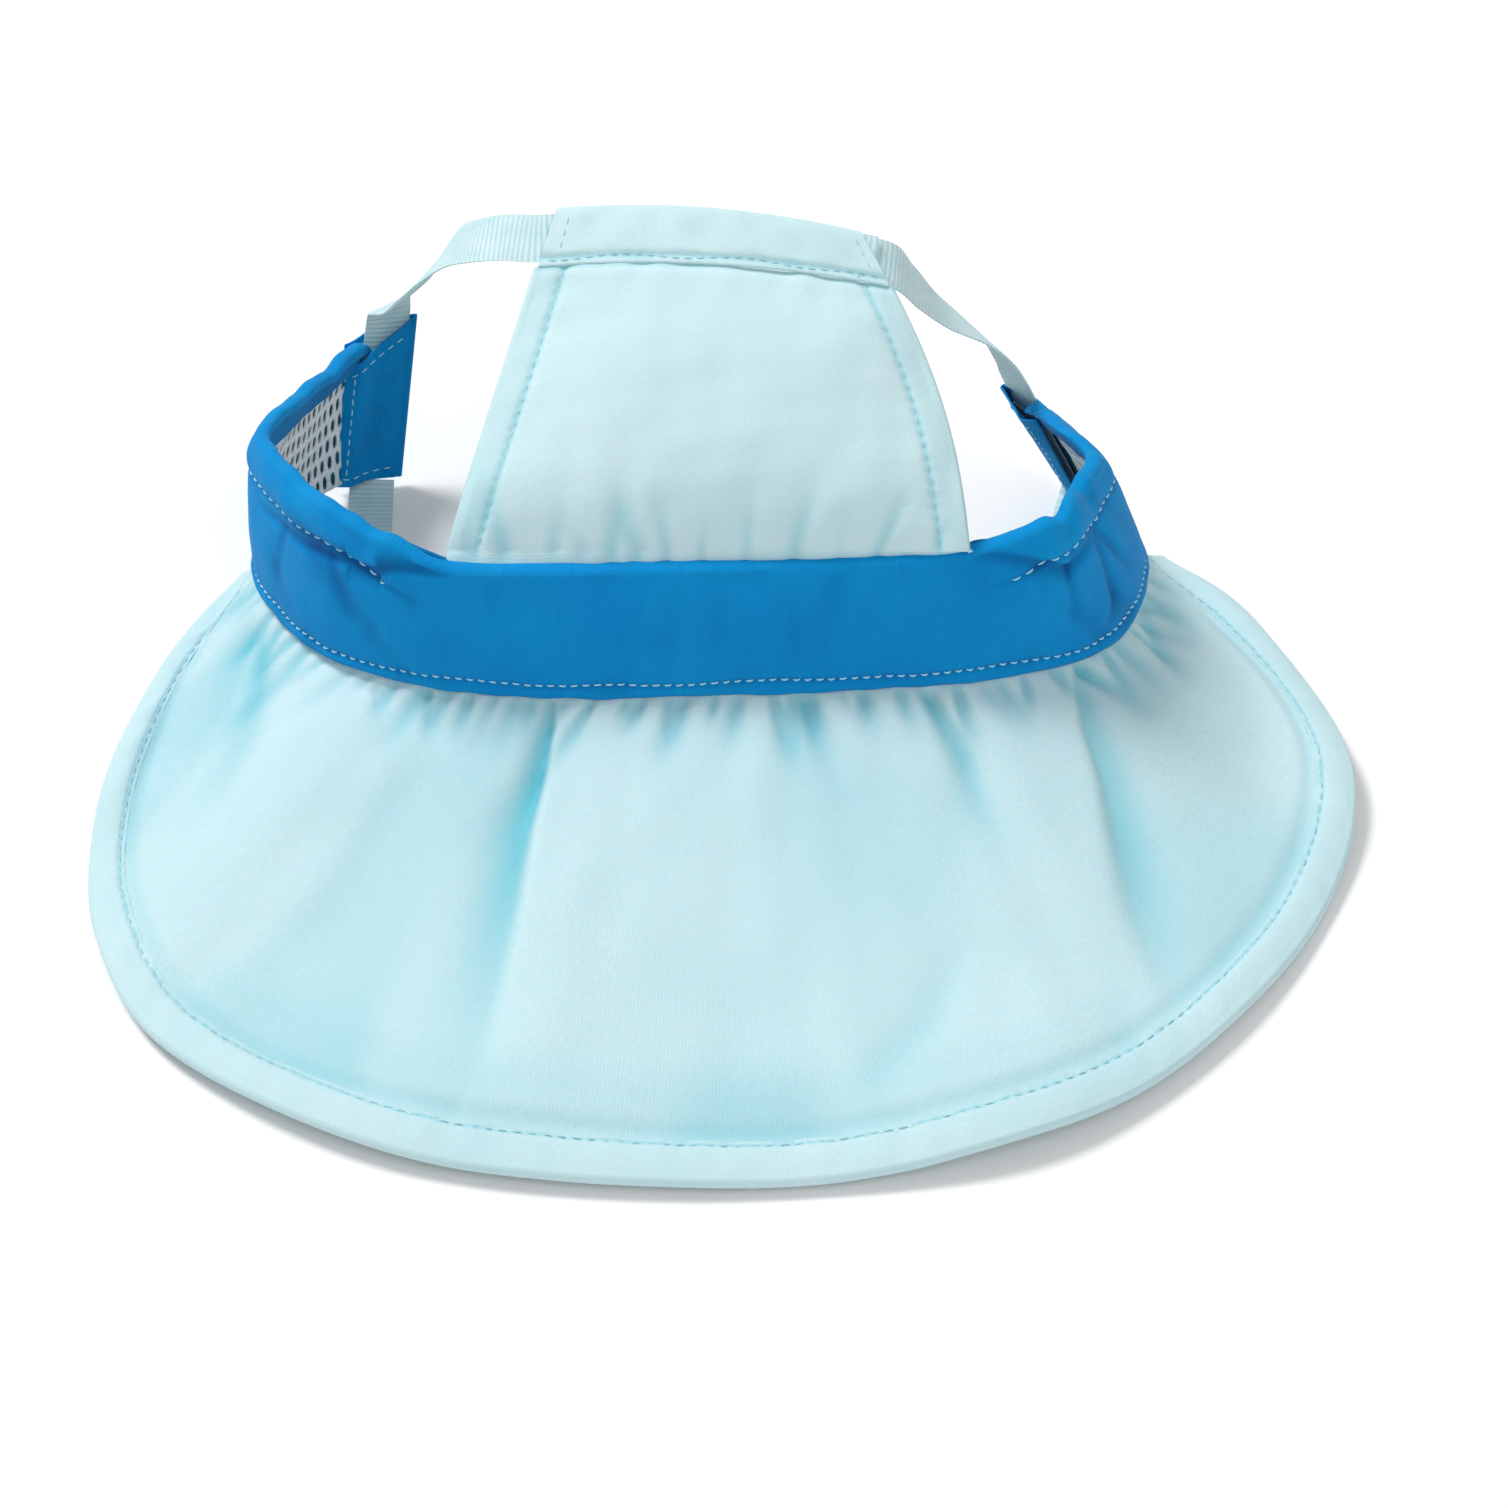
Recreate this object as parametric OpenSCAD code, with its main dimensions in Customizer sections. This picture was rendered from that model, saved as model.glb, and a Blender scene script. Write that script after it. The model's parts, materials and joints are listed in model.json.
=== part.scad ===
// Soft sun hat for a pet: a gathered crescent brim under an open-backed headband, with a crown
// panel that leans back from the headband. A ribbon runs through the crown's rear casing, over
// both ear gaps, down through a tab at each end of the headband, and on to tie under the chin.
// Millimetres. X to the wearer's left-right, the brim points towards -Y, Z up from the table.

/* [Headband] */
// Thickness of the headband's outer cloth
band_cloth = 0.7; // [0.5:0.1:0.9]
// Thickness of the stiffening inside the headband
band_stiffening = 0.8; // [0.5:0.1:1]
// Thickness of the mesh lining
mesh_thickness = 0.6; // [0.4:0.1:0.8]
// Height of the facing strip inside the top edge
facing_height = 9; // [6:1:12]
// How far the middle of the headband stands out from its edges
band_bulge = 1.5; // [0:0.5:3]

/* [Brim] */
// Thickness of each of the brim's two cloths
brim_cloth = 0.5; // [0.4:0.1:0.6]
// Thickness of the brim's stiffening
brim_stiffening = 0.8; // [0.5:0.1:1]
// Width of the binding round the brim's edge
binding_width = 9; // [6:1:11]
// Distance of the turn-up fold in front of the headband
fold_setback = 12; // [8:1:14]

/* [Crown] */
// Length of the crown from its front seam to its rear edge
crown_length = 73; // [69:1:76]
// Lean of the crown above level, in degrees
crown_lean = 35; // [30:1:40]
// Thickness of the wadding at the crown's middle
wadding = 3; // [2:0.5:4]
// Width of the ribbon casing along the crown's rear edge
casing_width = 12; // [11.5:0.5:13]

/* [Ribbon] */
// Width of the ribbon
ribbon_width = 10; // [8:1:10]
// Thickness of the ribbon
ribbon_thickness = 0.5; // [0.4:0.1:0.6]

/* [Hidden] */

// The origin is on the table below the middle of the whole hat.
frame_shift = [-4.7, 1.6, 0];
layer_gap = 0.1;
seam_gap = 0.3;
binding_cloth = 0.5;
binding_gap = 0.25;
table_clearance = binding_cloth + binding_gap + 0.05;

// The headband's lower edge, from its left rear end round the front to its right rear end.
LOWER_EDGE = [[-82, 91, 4], [-91, 77, 9], [-98, 57, 15], [-97, 42, 18.7], [-87, 22.5, 24],
              [-75, 11, 27], [-57, 3, 29.3], [-30, -0.8, 30], [0, 0, 30], [31, 2, 29.5],
              [58, 5.5, 28.5], [80, 14, 26], [91, 26, 23], [96.5, 45, 18], [96, 60, 14.5],
              [92, 71, 11], [86, 81, 8]];
// The headband's upper edge at the same stations. It dips where the crown joins it.
UPPER_EDGE = [[-77, 101, 43.5], [-84, 85, 47], [-90.5, 68, 53], [-95.5, 50, 58], [-87, 32, 63],
              [-75, 18, 65], [-57, 9, 60], [-30, 9, 58.5], [0, 10, 58.5], [31, 11.5, 58.5],
              [57, 14, 59.5], [74, 17, 66], [80, 31, 63], [84, 43, 59], [78, 55, 56],
              [74, 65, 51.5], [72, 71, 47.5]];
// The brim's outer edge on the table, from the left tip (station 2) to the right tip (station 14).
FIRST_BRIM = 2;
OUTER_EDGE = [[-102, 62], [-119, 28], [-128, -8], [-126, -42], [-108, -74], [-62, -100],
              [-2, -107.5], [52, -101.5], [92, -82], [126, -42], [138, 0], [121, 43], [101, 67]];
// The stations between which the turn-up part of the brim lies in front of the fold.
FLAP_START = 4.17;
FLAP_END = 11.68;
BRIM_ROWS = 5;
BAND_ROWS = 4;
station_step = 1 / 3;

// Each end tab's lower and upper free corners; its other corners are the headband's ends.
TAB_LEFT = [[-69, 93, 3], [-64, 103, 43]];
TAB_RIGHT = [[79, 92, 5], [64.8, 80, 43.4]];
tab_thickness = 2.6;
tab_wall = 0.5;

// The crown in its own leaning plane: half widths at the seam and at the rear edge.
crown_origin = [0, 11.2, 60.6];
crown_left_front = -53;
crown_left_rear = -30.5;
crown_right_front = 55;
crown_right_rear = 33;
crown_side_curve = 4.5;
crown_right_shortening = 2.5;
crown_corner_drop = 2.3;
crown_rise = 5;
crown_cloth = 0.6;
crown_columns = 10;
crown_rows = 8;

// The ribbon's routes. Each row is a point of its centre line, then the direction of its width.
REAR_LEFT = [[-35, 66, 99.5, 0, 0.82, 0.57], [-41, 68.5, 97.5, 0.05, 0.85, 0.5],
             [-47.5, 71.5, 94, 0.15, 0.9, 0.4], [-53, 76.5, 87.5, 0.3, 0.85, 0.3],
             [-58, 81.5, 77, 0.5, 0.8, 0.1], [-62.5, 87, 66, 0.65, 0.75, 0],
             [-66.5, 93.5, 56, 0.85, 0.5, 0], [-69.3, 99.5, 49.3, 1, 0.2, 0],
             [-70.3, 101.9, 45, 1, 0.1, 0]];
REAR_RIGHT = [[40.2, 62.8, 94.4, -0.1, 0.85, 0.5], [44.8, 64.5, 87, -0.15, 0.87, 0.4],
              [50.5, 66.5, 78.5, -0.3, 0.85, 0.2], [57.9, 69, 70, -0.5, 0.8, 0],
              [63, 71.5, 62, -0.6, 0.75, 0], [66.2, 73.6, 54, -0.6, 0.8, -0.2],
              [67.8, 74.8, 48.8, -0.6, 0.75, -0.25]];
CHIN_LEFT = [[-75.5, 91.7, 2.8, -1, 0, 0], [-75.6, 88.5, 1.2, -1, 0, 0], [-75.6, 84, 0.6, -1, 0, 0],
             [-75.5, 76, 0.5, -1, 0, 0], [-75, 68, 0.5, -1, 0, 0], [-73.5, 58, 1.2, -1, 0, -0.1],
             [-70, 48, 4, -0.7, 0, -0.7], [-63, 39, 5.2, 0, 0, -1], [-52, 33, 5.2, 0, 0, -1],
             [-38, 30.5, 5.2, 0, 0, -1], [-22, 31, 5.2, 0, 0, -1], [-6, 34, 5.2, 0, 0, -1],
             [10, 36, 5.2, 0, 0, -1], [26, 36, 5.2, 0, 0, -1], [42, 33, 5.2, 0, 0, -1],
             [56, 29, 5.2, 0, 0, -1]];
CHIN_RIGHT = [[82.8, 86.6, 4.6, -0.5, 0.85, 0], [83, 85.4, 2.6, -0.7, 0.7, 0],
              [83.1, 83, 1.2, -0.9, 0.4, 0], [83, 79, 0.6, -1, 0, 0], [82.5, 73, 0.6, -1, 0, 0],
              [81, 66, 1.4, -1, 0, -0.1], [78, 59, 4.4, -0.7, 0, -0.7], [72, 53, 5.2, 0, 0, -1],
              [63, 49.5, 5.2, 0, 0, -1], [52, 48.5, 5.2, 0, 0, -1], [38, 50, 5.2, 0, 0, -1],
              [24, 53, 5.2, 0, 0, -1], [10, 54, 5.2, 0, 0, -1], [-4, 53, 5.2, 0, 0, -1],
              [-18, 50, 5.2, 0, 0, -1], [-32, 48, 5.2, 0, 0, -1], [-46, 49, 5.2, 0, 0, -1]];

// ---- Curves and closed forms ----

// A point on the smooth curve through pts, at station u.
function smooth(pts, u) =
    let (last = len(pts) - 1, i = max(0, min(floor(u), last - 1)), f = u - i,
         a = pts[max(i - 1, 0)], b = pts[i], c = pts[i + 1], d = pts[min(i + 2, last)])
    0.5 * (2 * b + (c - a) * f + (2 * a - 5 * b + 4 * c - d) * f * f
           + (3 * b - a - 3 * c + d) * f * f * f);

function blend(a, b, t) = a * (1 - t) + b * t;
function unit(v) = v / norm(v);

// A closed solid between two grids of points, face and back, seen with the face on top.
module slab(face, back) {
    rows = len(face);
    cols = len(face[0]);
    function at(side, i, j) = side * rows * cols + i * cols + j;
    points = concat([for (row = face) each row], [for (row = back) each row]);
    faces = concat(
        [for (i = [0 : rows - 2], j = [0 : cols - 2]) each [
            [at(0, i, j), at(0, i + 1, j), at(0, i + 1, j + 1)],
            [at(0, i, j), at(0, i + 1, j + 1), at(0, i, j + 1)],
            [at(1, i, j), at(1, i + 1, j + 1), at(1, i + 1, j)],
            [at(1, i, j), at(1, i, j + 1), at(1, i + 1, j + 1)]]],
        [for (i = [0 : rows - 2]) each [
            [at(0, i, 0), at(1, i, 0), at(1, i + 1, 0)],
            [at(0, i, 0), at(1, i + 1, 0), at(0, i + 1, 0)],
            [at(0, i, cols - 1), at(1, i + 1, cols - 1), at(1, i, cols - 1)],
            [at(0, i, cols - 1), at(0, i + 1, cols - 1), at(1, i + 1, cols - 1)]]],
        [for (j = [0 : cols - 2]) each [
            [at(0, 0, j), at(1, 0, j + 1), at(1, 0, j)],
            [at(0, 0, j), at(0, 0, j + 1), at(1, 0, j + 1)],
            [at(0, rows - 1, j), at(1, rows - 1, j), at(1, rows - 1, j + 1)],
            [at(0, rows - 1, j), at(1, rows - 1, j + 1), at(0, rows - 1, j + 1)]]]);
    translate(frame_shift) polyhedron(points, faces, convexity = 8);
}

// How a four-cornered outline and the binding's U-shaped outline are closed with triangles.
FOUR_CAP = [[0, 1, 2], [0, 2, 3]];
U_CAP = [[0, 1, 6], [0, 6, 7], [1, 2, 5], [1, 5, 6], [2, 3, 4], [2, 4, 5]];

// A closed solid through a row of closed outlines, each with the same number of points. The
// strips listed in flipped are split along their other diagonal.
module sweep(rings, cap = FOUR_CAP, flipped = []) {
    n = len(rings[0]);
    last = len(rings) - 1;
    faces = concat(
        [for (i = [0 : last - 1], k = [0 : n - 1])
            let (a = i * n + k, b = i * n + (k + 1) % n, c = b + n, d = a + n)
            each len([for (f = flipped) if (f == k) f]) > 0 ? [[a, b, d], [b, c, d]] : [[a, c, d], [a, b, c]]],
        [for (c = cap) [c[2], c[1], c[0]]],
        [for (c = cap) [last * n + c[0], last * n + c[1], last * n + c[2]]]);
    translate(frame_shift) polyhedron([for (ring = rings) each ring], faces, convexity = 8);
}

// A sleeve open at both ends, between a row of four-cornered outlines and a smaller one inside.
module sleeve(outer, inner) {
    last = len(outer) - 1;
    count = 4 * len(outer);
    faces = concat(
        [for (i = [0 : last - 1], k = [0 : 3]) let (k2 = (k + 1) % 4) each [
            [i * 4 + k, (i + 1) * 4 + k2, (i + 1) * 4 + k], [i * 4 + k, i * 4 + k2, (i + 1) * 4 + k2],
            [count + i * 4 + k, count + (i + 1) * 4 + k, count + (i + 1) * 4 + k2],
            [count + i * 4 + k, count + (i + 1) * 4 + k2, count + i * 4 + k2]]],
        [for (k = [0 : 3]) let (k2 = (k + 1) % 4, top = 4 * last) each [
            [k, count + k2, k2], [k, count + k, count + k2],
            [top + k, top + k2, count + top + k2], [top + k, count + top + k2, count + top + k]]]);
    translate(frame_shift)
        polyhedron([each for (ring = outer) ring, each for (ring = inner) ring], faces, convexity = 8);
}

// A flat ribbon of the given section along the rows of a route.
module ribbon(route, steps, width = ribbon_width, thickness = ribbon_thickness) {
    last = len(route) - 1;
    us = [for (k = [0 : last * steps]) k / steps];
    sweep([for (u = us)
        let (row = smooth(route, u),
             ahead = smooth(route, min(u + 0.05, last)),
             behind = smooth(route, max(u - 0.05, 0)),
             p = [row[0], row[1], row[2]],
             along = unit([for (k = [0 : 2]) ahead[k] - behind[k]]),
             rough = [row[3], row[4], row[5]],
             across = unit(rough - along * (rough * along)),
             up = cross(along, across),
             w = across * width / 2,
             h = up * thickness / 2)
        [p - w - h, p + w - h, p + w + h, p - w + h]]);
}

// ---- Headband ----

// The direction that points out of the headband at station u, level with the table.
function band_outward(u) =
    let (step = smooth(LOWER_EDGE, min(u + 0.1, 16)) - smooth(LOWER_EDGE, max(u - 0.1, 0)))
    unit([step[1], -step[0], 0]);

function band_height(u) = norm(smooth(UPPER_EDGE, u) - smooth(LOWER_EDGE, u));

// A point on the headband: v runs from its lower to its upper edge, d stands out from its face.
function band_point(u, v, d) =
    blend(smooth(LOWER_EDGE, u), smooth(UPPER_EDGE, u), v)
    + band_outward(u) * (d + band_bulge * sin(180 * v));

// One layer of the headband, from outer depth d1 to inner depth d0. Inner layers stop short of
// the headband's ends by inset stations, and a facing covers only that height below the top.
module band_layer(d1, d0, facing = 0, inset = 0) {
    us = [for (k = [0 : 16 / station_step]) max(inset, min(16 - inset, k * station_step))];
    function first_v(u) = facing > 0 ? 1 - facing / band_height(u) : 0;
    function grid(d) = [for (u = us) [for (j = [0 : BAND_ROWS])
        band_point(u, blend(first_v(u), 1, j / BAND_ROWS), d)]];
    slab(grid(d1), grid(d0));
}

stiffening_face = -band_cloth - layer_gap;
mesh_face = stiffening_face - band_stiffening - layer_gap;
facing_face = mesh_face - mesh_thickness - seam_gap;

module headband_cloth() {
    color("dodgerblue") band_layer(0, -band_cloth);
}

module headband_stiffening() {
    color("whitesmoke") band_layer(stiffening_face, stiffening_face - band_stiffening, inset = 0.1);
}

module mesh_lining() {
    color("white") band_layer(mesh_face, mesh_face - mesh_thickness, inset = 0.2);
}

module headband_facing() {
    color("steelblue") band_layer(facing_face, facing_face - band_cloth, facing_height, 0.25);
}

// ---- Ribbon tabs ----

// A flat sleeve from the headband's end to the tab's free corners, open at both ends.
module tab(root, tip) {
    down = [root[0] - root[1], tip[0] - tip[1]];
    across = unit(tip[0] - root[0]);
    facing = unit(cross(across, unit(down[0])));
    function outline(p, q, wall) =
        let (a = unit(q - p) * wall, h = facing * (tab_thickness / 2 - wall))
        [p + a - h, q - a - h, q - a + h, p + a + h];
    rows = [for (k = [0 : 8]) [blend(root[0], root[1], k / 8), blend(tip[0], tip[1], k / 8)]];
    sleeve([for (row = rows) outline(row[0], row[1], 0)], [for (row = rows) outline(row[0], row[1], tab_wall)]);
}

// The tab's root corners, just clear of the headband's end.
function tab_root(u, tip) =
    [smooth(LOWER_EDGE, u) + unit(tip[0] - smooth(LOWER_EDGE, u)) * seam_gap
     + band_outward(u) * (mesh_face + band_cloth) / 2,
     smooth(UPPER_EDGE, u) + unit(tip[1] - smooth(UPPER_EDGE, u)) * seam_gap
     + band_outward(u) * (mesh_face + band_cloth) / 2];

module tab_left() {
    color("royalblue") tab(tab_root(0, TAB_LEFT), TAB_LEFT);
}

module tab_right() {
    color("royalblue") tab(tab_root(16, TAB_RIGHT), TAB_RIGHT);
}

// The stretch of ribbon inside a tab.
module tab_ribbon(root, tip) {
    low = (root[0] + tip[0]) / 2;
    high = (root[1] + tip[1]) / 2;
    across = [unit(tip[0] - root[0]), unit(tip[1] - root[1])];
    ribbon([for (t = [0 : 3]) concat(blend(low, high, t / 3), blend(across[0], across[1], t / 3))], 1);
}

module tab_ribbon_left() {
    color("paleturquoise") tab_ribbon(tab_root(0, TAB_LEFT), TAB_LEFT);
}

module tab_ribbon_right() {
    color("paleturquoise") tab_ribbon(tab_root(16, TAB_RIGHT), TAB_RIGHT);
}

// ---- Stitching on the headband ----

thread_width = 0.6;
thread_low = 0.25;
thread_high = 0.55;

// A line of thread on the headband's face, between stations, height_at above an edge.
module band_thread(first, last, from_lower, from_upper) {
    count = ceil((last - first) / station_step);
    function v(u) = from_lower > 0 ? from_lower / band_height(u) : 1 - from_upper / band_height(u);
    function ring(u) = let (dv = thread_width / 2 / band_height(u))
        [band_point(u, v(u) - dv, thread_low), band_point(u, v(u) + dv, thread_low),
         band_point(u, v(u) + dv, thread_high), band_point(u, v(u) - dv, thread_high)];
    sweep([for (k = [0 : count]) ring(blend(first, last, k / count))]);
}

module band_stitching() {
    color("lightcyan") band_thread(2, 14, 3.5, 0);
}

module wing_stitching_left() {
    color("lightcyan") band_thread(1 / 3, 17 / 3, 0, 9);
}

module wing_stitching_right() {
    color("lightcyan") band_thread(31 / 3, 47 / 3, 0, 9);
}

// ---- Brim ----

function outer_point(u) =
    let (p = smooth(OUTER_EDGE, u - FIRST_BRIM)) [p[0], p[1], table_clearance];

// The brim's seam, tucked under the headband's lower edge.
seam_drop = seam_gap + 2 * brim_cloth + brim_stiffening + 2 * layer_gap;
function seam_point(u) =
    smooth(LOWER_EDGE, u) - band_outward(u) - [0, 0, seam_drop];

function brim_width(u) =
    let (d = outer_point(u) - seam_point(u)) norm([d[0], d[1]]);

// Share of the brim's height left at t of the way out: steepest beside the headband.
function brim_fall(t) = 1 - 1.3 * t + 0.3 * t * t;

// A point on the brim: t runs from its seam to its outer edge, h above its underside.
function brim_point(u, t, h) =
    let (s = seam_point(u), o = outer_point(u))
    [blend(s[0], o[0], t), blend(s[1], o[1], t), blend(o[2], s[2], brim_fall(t)) + h];

// How far out the fold crosses the brim at station u; 1 where the fold isn't reached.
fold_y = -fold_setback;
function fold_share(u) =
    let (s = seam_point(u), o = outer_point(u))
    o[1] >= fold_y ? 1 : min(1, (fold_y - s[1]) / (o[1] - s[1]));

FLAP_COLUMNS = [FLAP_START, each [for (k = [13 : 34]) k / 3], FLAP_END];
LEFT_COLUMNS = [for (k = [6 : 12]) k / 3];
RIGHT_COLUMNS = [for (k = [36 : 42]) k / 3];
ROOT_COLUMNS = concat(LEFT_COLUMNS, FLAP_COLUMNS, RIGHT_COLUMNS);

edge_inset = 1.2;
function cloth_end(u) = 1 - edge_inset / brim_width(u);
function fold_gap(u) = seam_gap / 2 / brim_width(u);

// How wide the binding's lip is at station u: narrower where the brim runs out or the fold is near.
function lip(u) = min(binding_width, 0.7 * brim_width(u),
    (1 - (fold_share(u) < 1 ? fold_share(u) + 2 * fold_gap(u) : 0)) * brim_width(u));

// One layer of the brim between the seam and the fold, or the seam and the edge beside the fold,
// h0 to h1 above the underside.
module root_layer(h0, h1) {
    function share(u, j) = fold_share(u) < 1
        ? (fold_share(u) - fold_gap(u)) * j / BRIM_ROWS
        : j == BRIM_ROWS ? cloth_end(u) : (1 - lip(u) / brim_width(u)) * j / (BRIM_ROWS - 1);
    function grid(h) = [for (u = ROOT_COLUMNS) [for (j = [0 : BRIM_ROWS]) brim_point(u, share(u, j), h)]];
    slab(grid(h0), grid(h1));
}

// One layer of the part of the brim that turns up.
module flap_layer(h0, h1) {
    function grid(h) = [for (u = FLAP_COLUMNS) [for (j = [0 : BRIM_ROWS])
        brim_point(u, blend(fold_share(u) + fold_gap(u), cloth_end(u), j / BRIM_ROWS), h)]];
    slab(grid(h0), grid(h1));
}

stiff_low = brim_cloth + layer_gap;
top_low = stiff_low + brim_stiffening + layer_gap;
top_high = top_low + brim_cloth;

module brim_root_under_cloth() {
    color("powderblue") root_layer(0, brim_cloth);
}

module brim_root_stiffening() {
    color("whitesmoke") root_layer(stiff_low, stiff_low + brim_stiffening);
}

module brim_root_top_cloth() {
    color("lightcyan") root_layer(top_low, top_high);
}

module brim_under_cloth() {
    color("powderblue") flap_layer(0, brim_cloth);
}

module brim_stiffening_layer() {
    color("whitesmoke") flap_layer(stiff_low, stiff_low + brim_stiffening);
}

module brim_top_cloth() {
    color("lightcyan") flap_layer(top_low, top_high);
}

// The folded binding round the edge, along the given stations.
module binding(us) {
    function at(u, e, h) = brim_point(u, 1 - e / brim_width(u), h);
    sweep([for (u = us) let (w = lip(u), c = binding_cloth, g = binding_gap) [
        at(u, w, -g - c), at(u, 0, -g - c), at(u, 0, top_high + g + c), at(u, w, top_high + g + c),
        at(u, w, top_high + g), at(u, c, top_high + g), at(u, c, -g), at(u, w, -g)]], U_CAP, [6]);
}

module brim_root_binding_left() {
    color("lightcyan") binding([for (k = [1 : len(LEFT_COLUMNS) - 1]) LEFT_COLUMNS[k]]);
}

module brim_root_binding_right() {
    color("lightcyan") binding([for (k = [0 : len(RIGHT_COLUMNS) - 2]) RIGHT_COLUMNS[k]]);
}

module brim_binding() {
    color("lightcyan") binding([for (k = [1 : len(FLAP_COLUMNS) - 2]) FLAP_COLUMNS[k]]);
}

// The row of thread that holds the turn-up part's binding down.
stitch_from_lip = 1.2;
module brim_hem_stitching() {
    low = top_high + binding_gap + binding_cloth + thread_low;
    us = [for (k = [3 : len(FLAP_COLUMNS) - 4]) FLAP_COLUMNS[k]];
    function at(u, e, h) = brim_point(u, 1 - e / brim_width(u), h);
    e = binding_width - stitch_from_lip;
    color("paleturquoise") sweep([for (u = us) [
        at(u, e + thread_width, low), at(u, e, low),
        at(u, e, low + thread_high - thread_low), at(u, e + thread_width, low + thread_high - thread_low)]]);
}

// ---- Crown ----

function crown_x(a, b) =
    let (bow = crown_side_curve * sin(180 * b),
         left = blend(crown_left_front, crown_left_rear, b),
         right = blend(crown_right_front, crown_right_rear, b) + bow)
    blend(left, right, (a + 1) / 2);

// A point on the crown: a runs from -1 at its left side to 1 at its right, b from the front seam
// to the rear edge, h above its lining.
function crown_point(a, b, h) =
    let (rise = crown_rise * (1 - a * a) * sin(150 * b + 15) + h,
         run = b * (crown_length - crown_right_shortening * a - crown_corner_drop * a * a))
    crown_origin + [crown_x(a, b), 0, 0]
    + [0, cos(crown_lean), sin(crown_lean)] * run + [0, -sin(crown_lean), cos(crown_lean)] * rise;

body_share = 1 - (casing_width + seam_gap) / crown_length;
wadding_low = crown_cloth + layer_gap;
wadding_edge = 0.6;
function wadding_high(a, b) =
    wadding_low + wadding_edge + (wadding - wadding_edge) * (1 - pow(a, 4)) * sin(180 * b / body_share);

module crown_layer(low, high) {
    function grid(level) = [for (i = [0 : crown_columns]) [for (j = [0 : crown_rows])
        let (a = -1 + 2 * i / crown_columns, b = body_share * j / crown_rows)
        crown_point(a, b, level == 0 ? low(a, b) : high(a, b))]];
    slab(grid(1), grid(0));
}

module crown_lining() {
    color("powderblue") crown_layer(function(a, b) 0, function(a, b) crown_cloth);
}

module crown_wadding() {
    color("white") crown_layer(function(a, b) wadding_low, function(a, b) wadding_high(a, b));
}

module crown_top_cloth() {
    color("lightcyan") crown_layer(function(a, b) wadding_high(a, b) + layer_gap,
                                   function(a, b) wadding_high(a, b) + layer_gap + crown_cloth);
}

// The folded channel across the rear edge, open at both sides for the ribbon.
casing_thickness = 2.4;
casing_wall = 0.5;
module crown_casing() {
    b0 = body_share + seam_gap / crown_length;
    w = casing_wall;
    dw = w / crown_length;
    function loop(a, e) = [crown_point(a, b0 + e * dw, e * w),
                           crown_point(a, 1 - e * dw, e * w),
                           crown_point(a, 1 - e * dw, casing_thickness - e * w),
                           crown_point(a, b0 + e * dw, casing_thickness - e * w)];
    sides = [for (i = [0 : crown_columns]) -1 + 2 * i / crown_columns];
    color("lightcyan") sleeve([for (a = sides) loop(a, 0)], [for (a = sides) loop(a, 1)]);
}

// The stretch of ribbon inside the casing.
module casing_ribbon() {
    n = crown_columns;
    b_mid = 1 - casing_width / 2 / crown_length;
    half = ribbon_width / 2 / crown_length;
    h0 = casing_thickness / 2 - ribbon_thickness / 2;
    h1 = h0 + ribbon_thickness;
    color("paleturquoise") sweep([for (i = [0 : n]) let (a = -1 + 2 * i / n) [
        crown_point(a, b_mid - half, h0), crown_point(a, b_mid + half, h0),
        crown_point(a, b_mid + half, h1), crown_point(a, b_mid - half, h1)]]);
}

// A row of thread down one side of the crown.
stitch_inset = 0.11;
module crown_stitching(side) {
    a0 = side * (1 - stitch_inset);
    a1 = a0 - side * 0.012;
    function at(a, b, up) = crown_point(a, b, wadding_high(a, b) + layer_gap + crown_cloth + up);
    function ring(b) = [at(a0, b, thread_low), at(a1, b, thread_low),
                        at(a1, b, thread_high), at(a0, b, thread_high)];
    bs = [for (k = [0 : crown_rows]) body_share * (side > 0 ? k : crown_rows - k) / crown_rows];
    color("paleturquoise") sweep([for (b = bs) ring(b)]);
}

module crown_stitching_left() {
    crown_stitching(-1);
}

module crown_stitching_right() {
    crown_stitching(1);
}

// ---- Free ribbon ----

module rear_ribbon_left() {
    color("paleturquoise") ribbon(REAR_LEFT, 2);
}

module rear_ribbon_right() {
    color("paleturquoise") ribbon(REAR_RIGHT, 2);
}

module chin_ribbon_left() {
    color("paleturquoise") ribbon(CHIN_LEFT, 2);
}

module chin_ribbon_right() {
    color("paleturquoise") ribbon(CHIN_RIGHT, 2);
}

headband_cloth();
headband_stiffening();
headband_facing();
mesh_lining();
tab_left();
tab_right();
tab_ribbon_left();
tab_ribbon_right();
band_stitching();
wing_stitching_left();
wing_stitching_right();
brim_root_top_cloth();
brim_root_stiffening();
brim_root_under_cloth();
brim_root_binding_left();
brim_root_binding_right();
brim_top_cloth();
brim_stiffening_layer();
brim_under_cloth();
brim_binding();
brim_hem_stitching();
crown_top_cloth();
crown_wadding();
crown_lining();
crown_casing();
crown_stitching_left();
crown_stitching_right();
casing_ribbon();
rear_ribbon_left();
rear_ribbon_right();
chin_ribbon_left();
chin_ribbon_right();
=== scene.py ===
"""Looks of the pet sun hat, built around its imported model.

Shapes are worked out in millimetres in the part's own frame, whose origin is on the table below the
middle of the headband's front, and to_row() turns them into the row frame's metres.
"""
import json
import math

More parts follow.
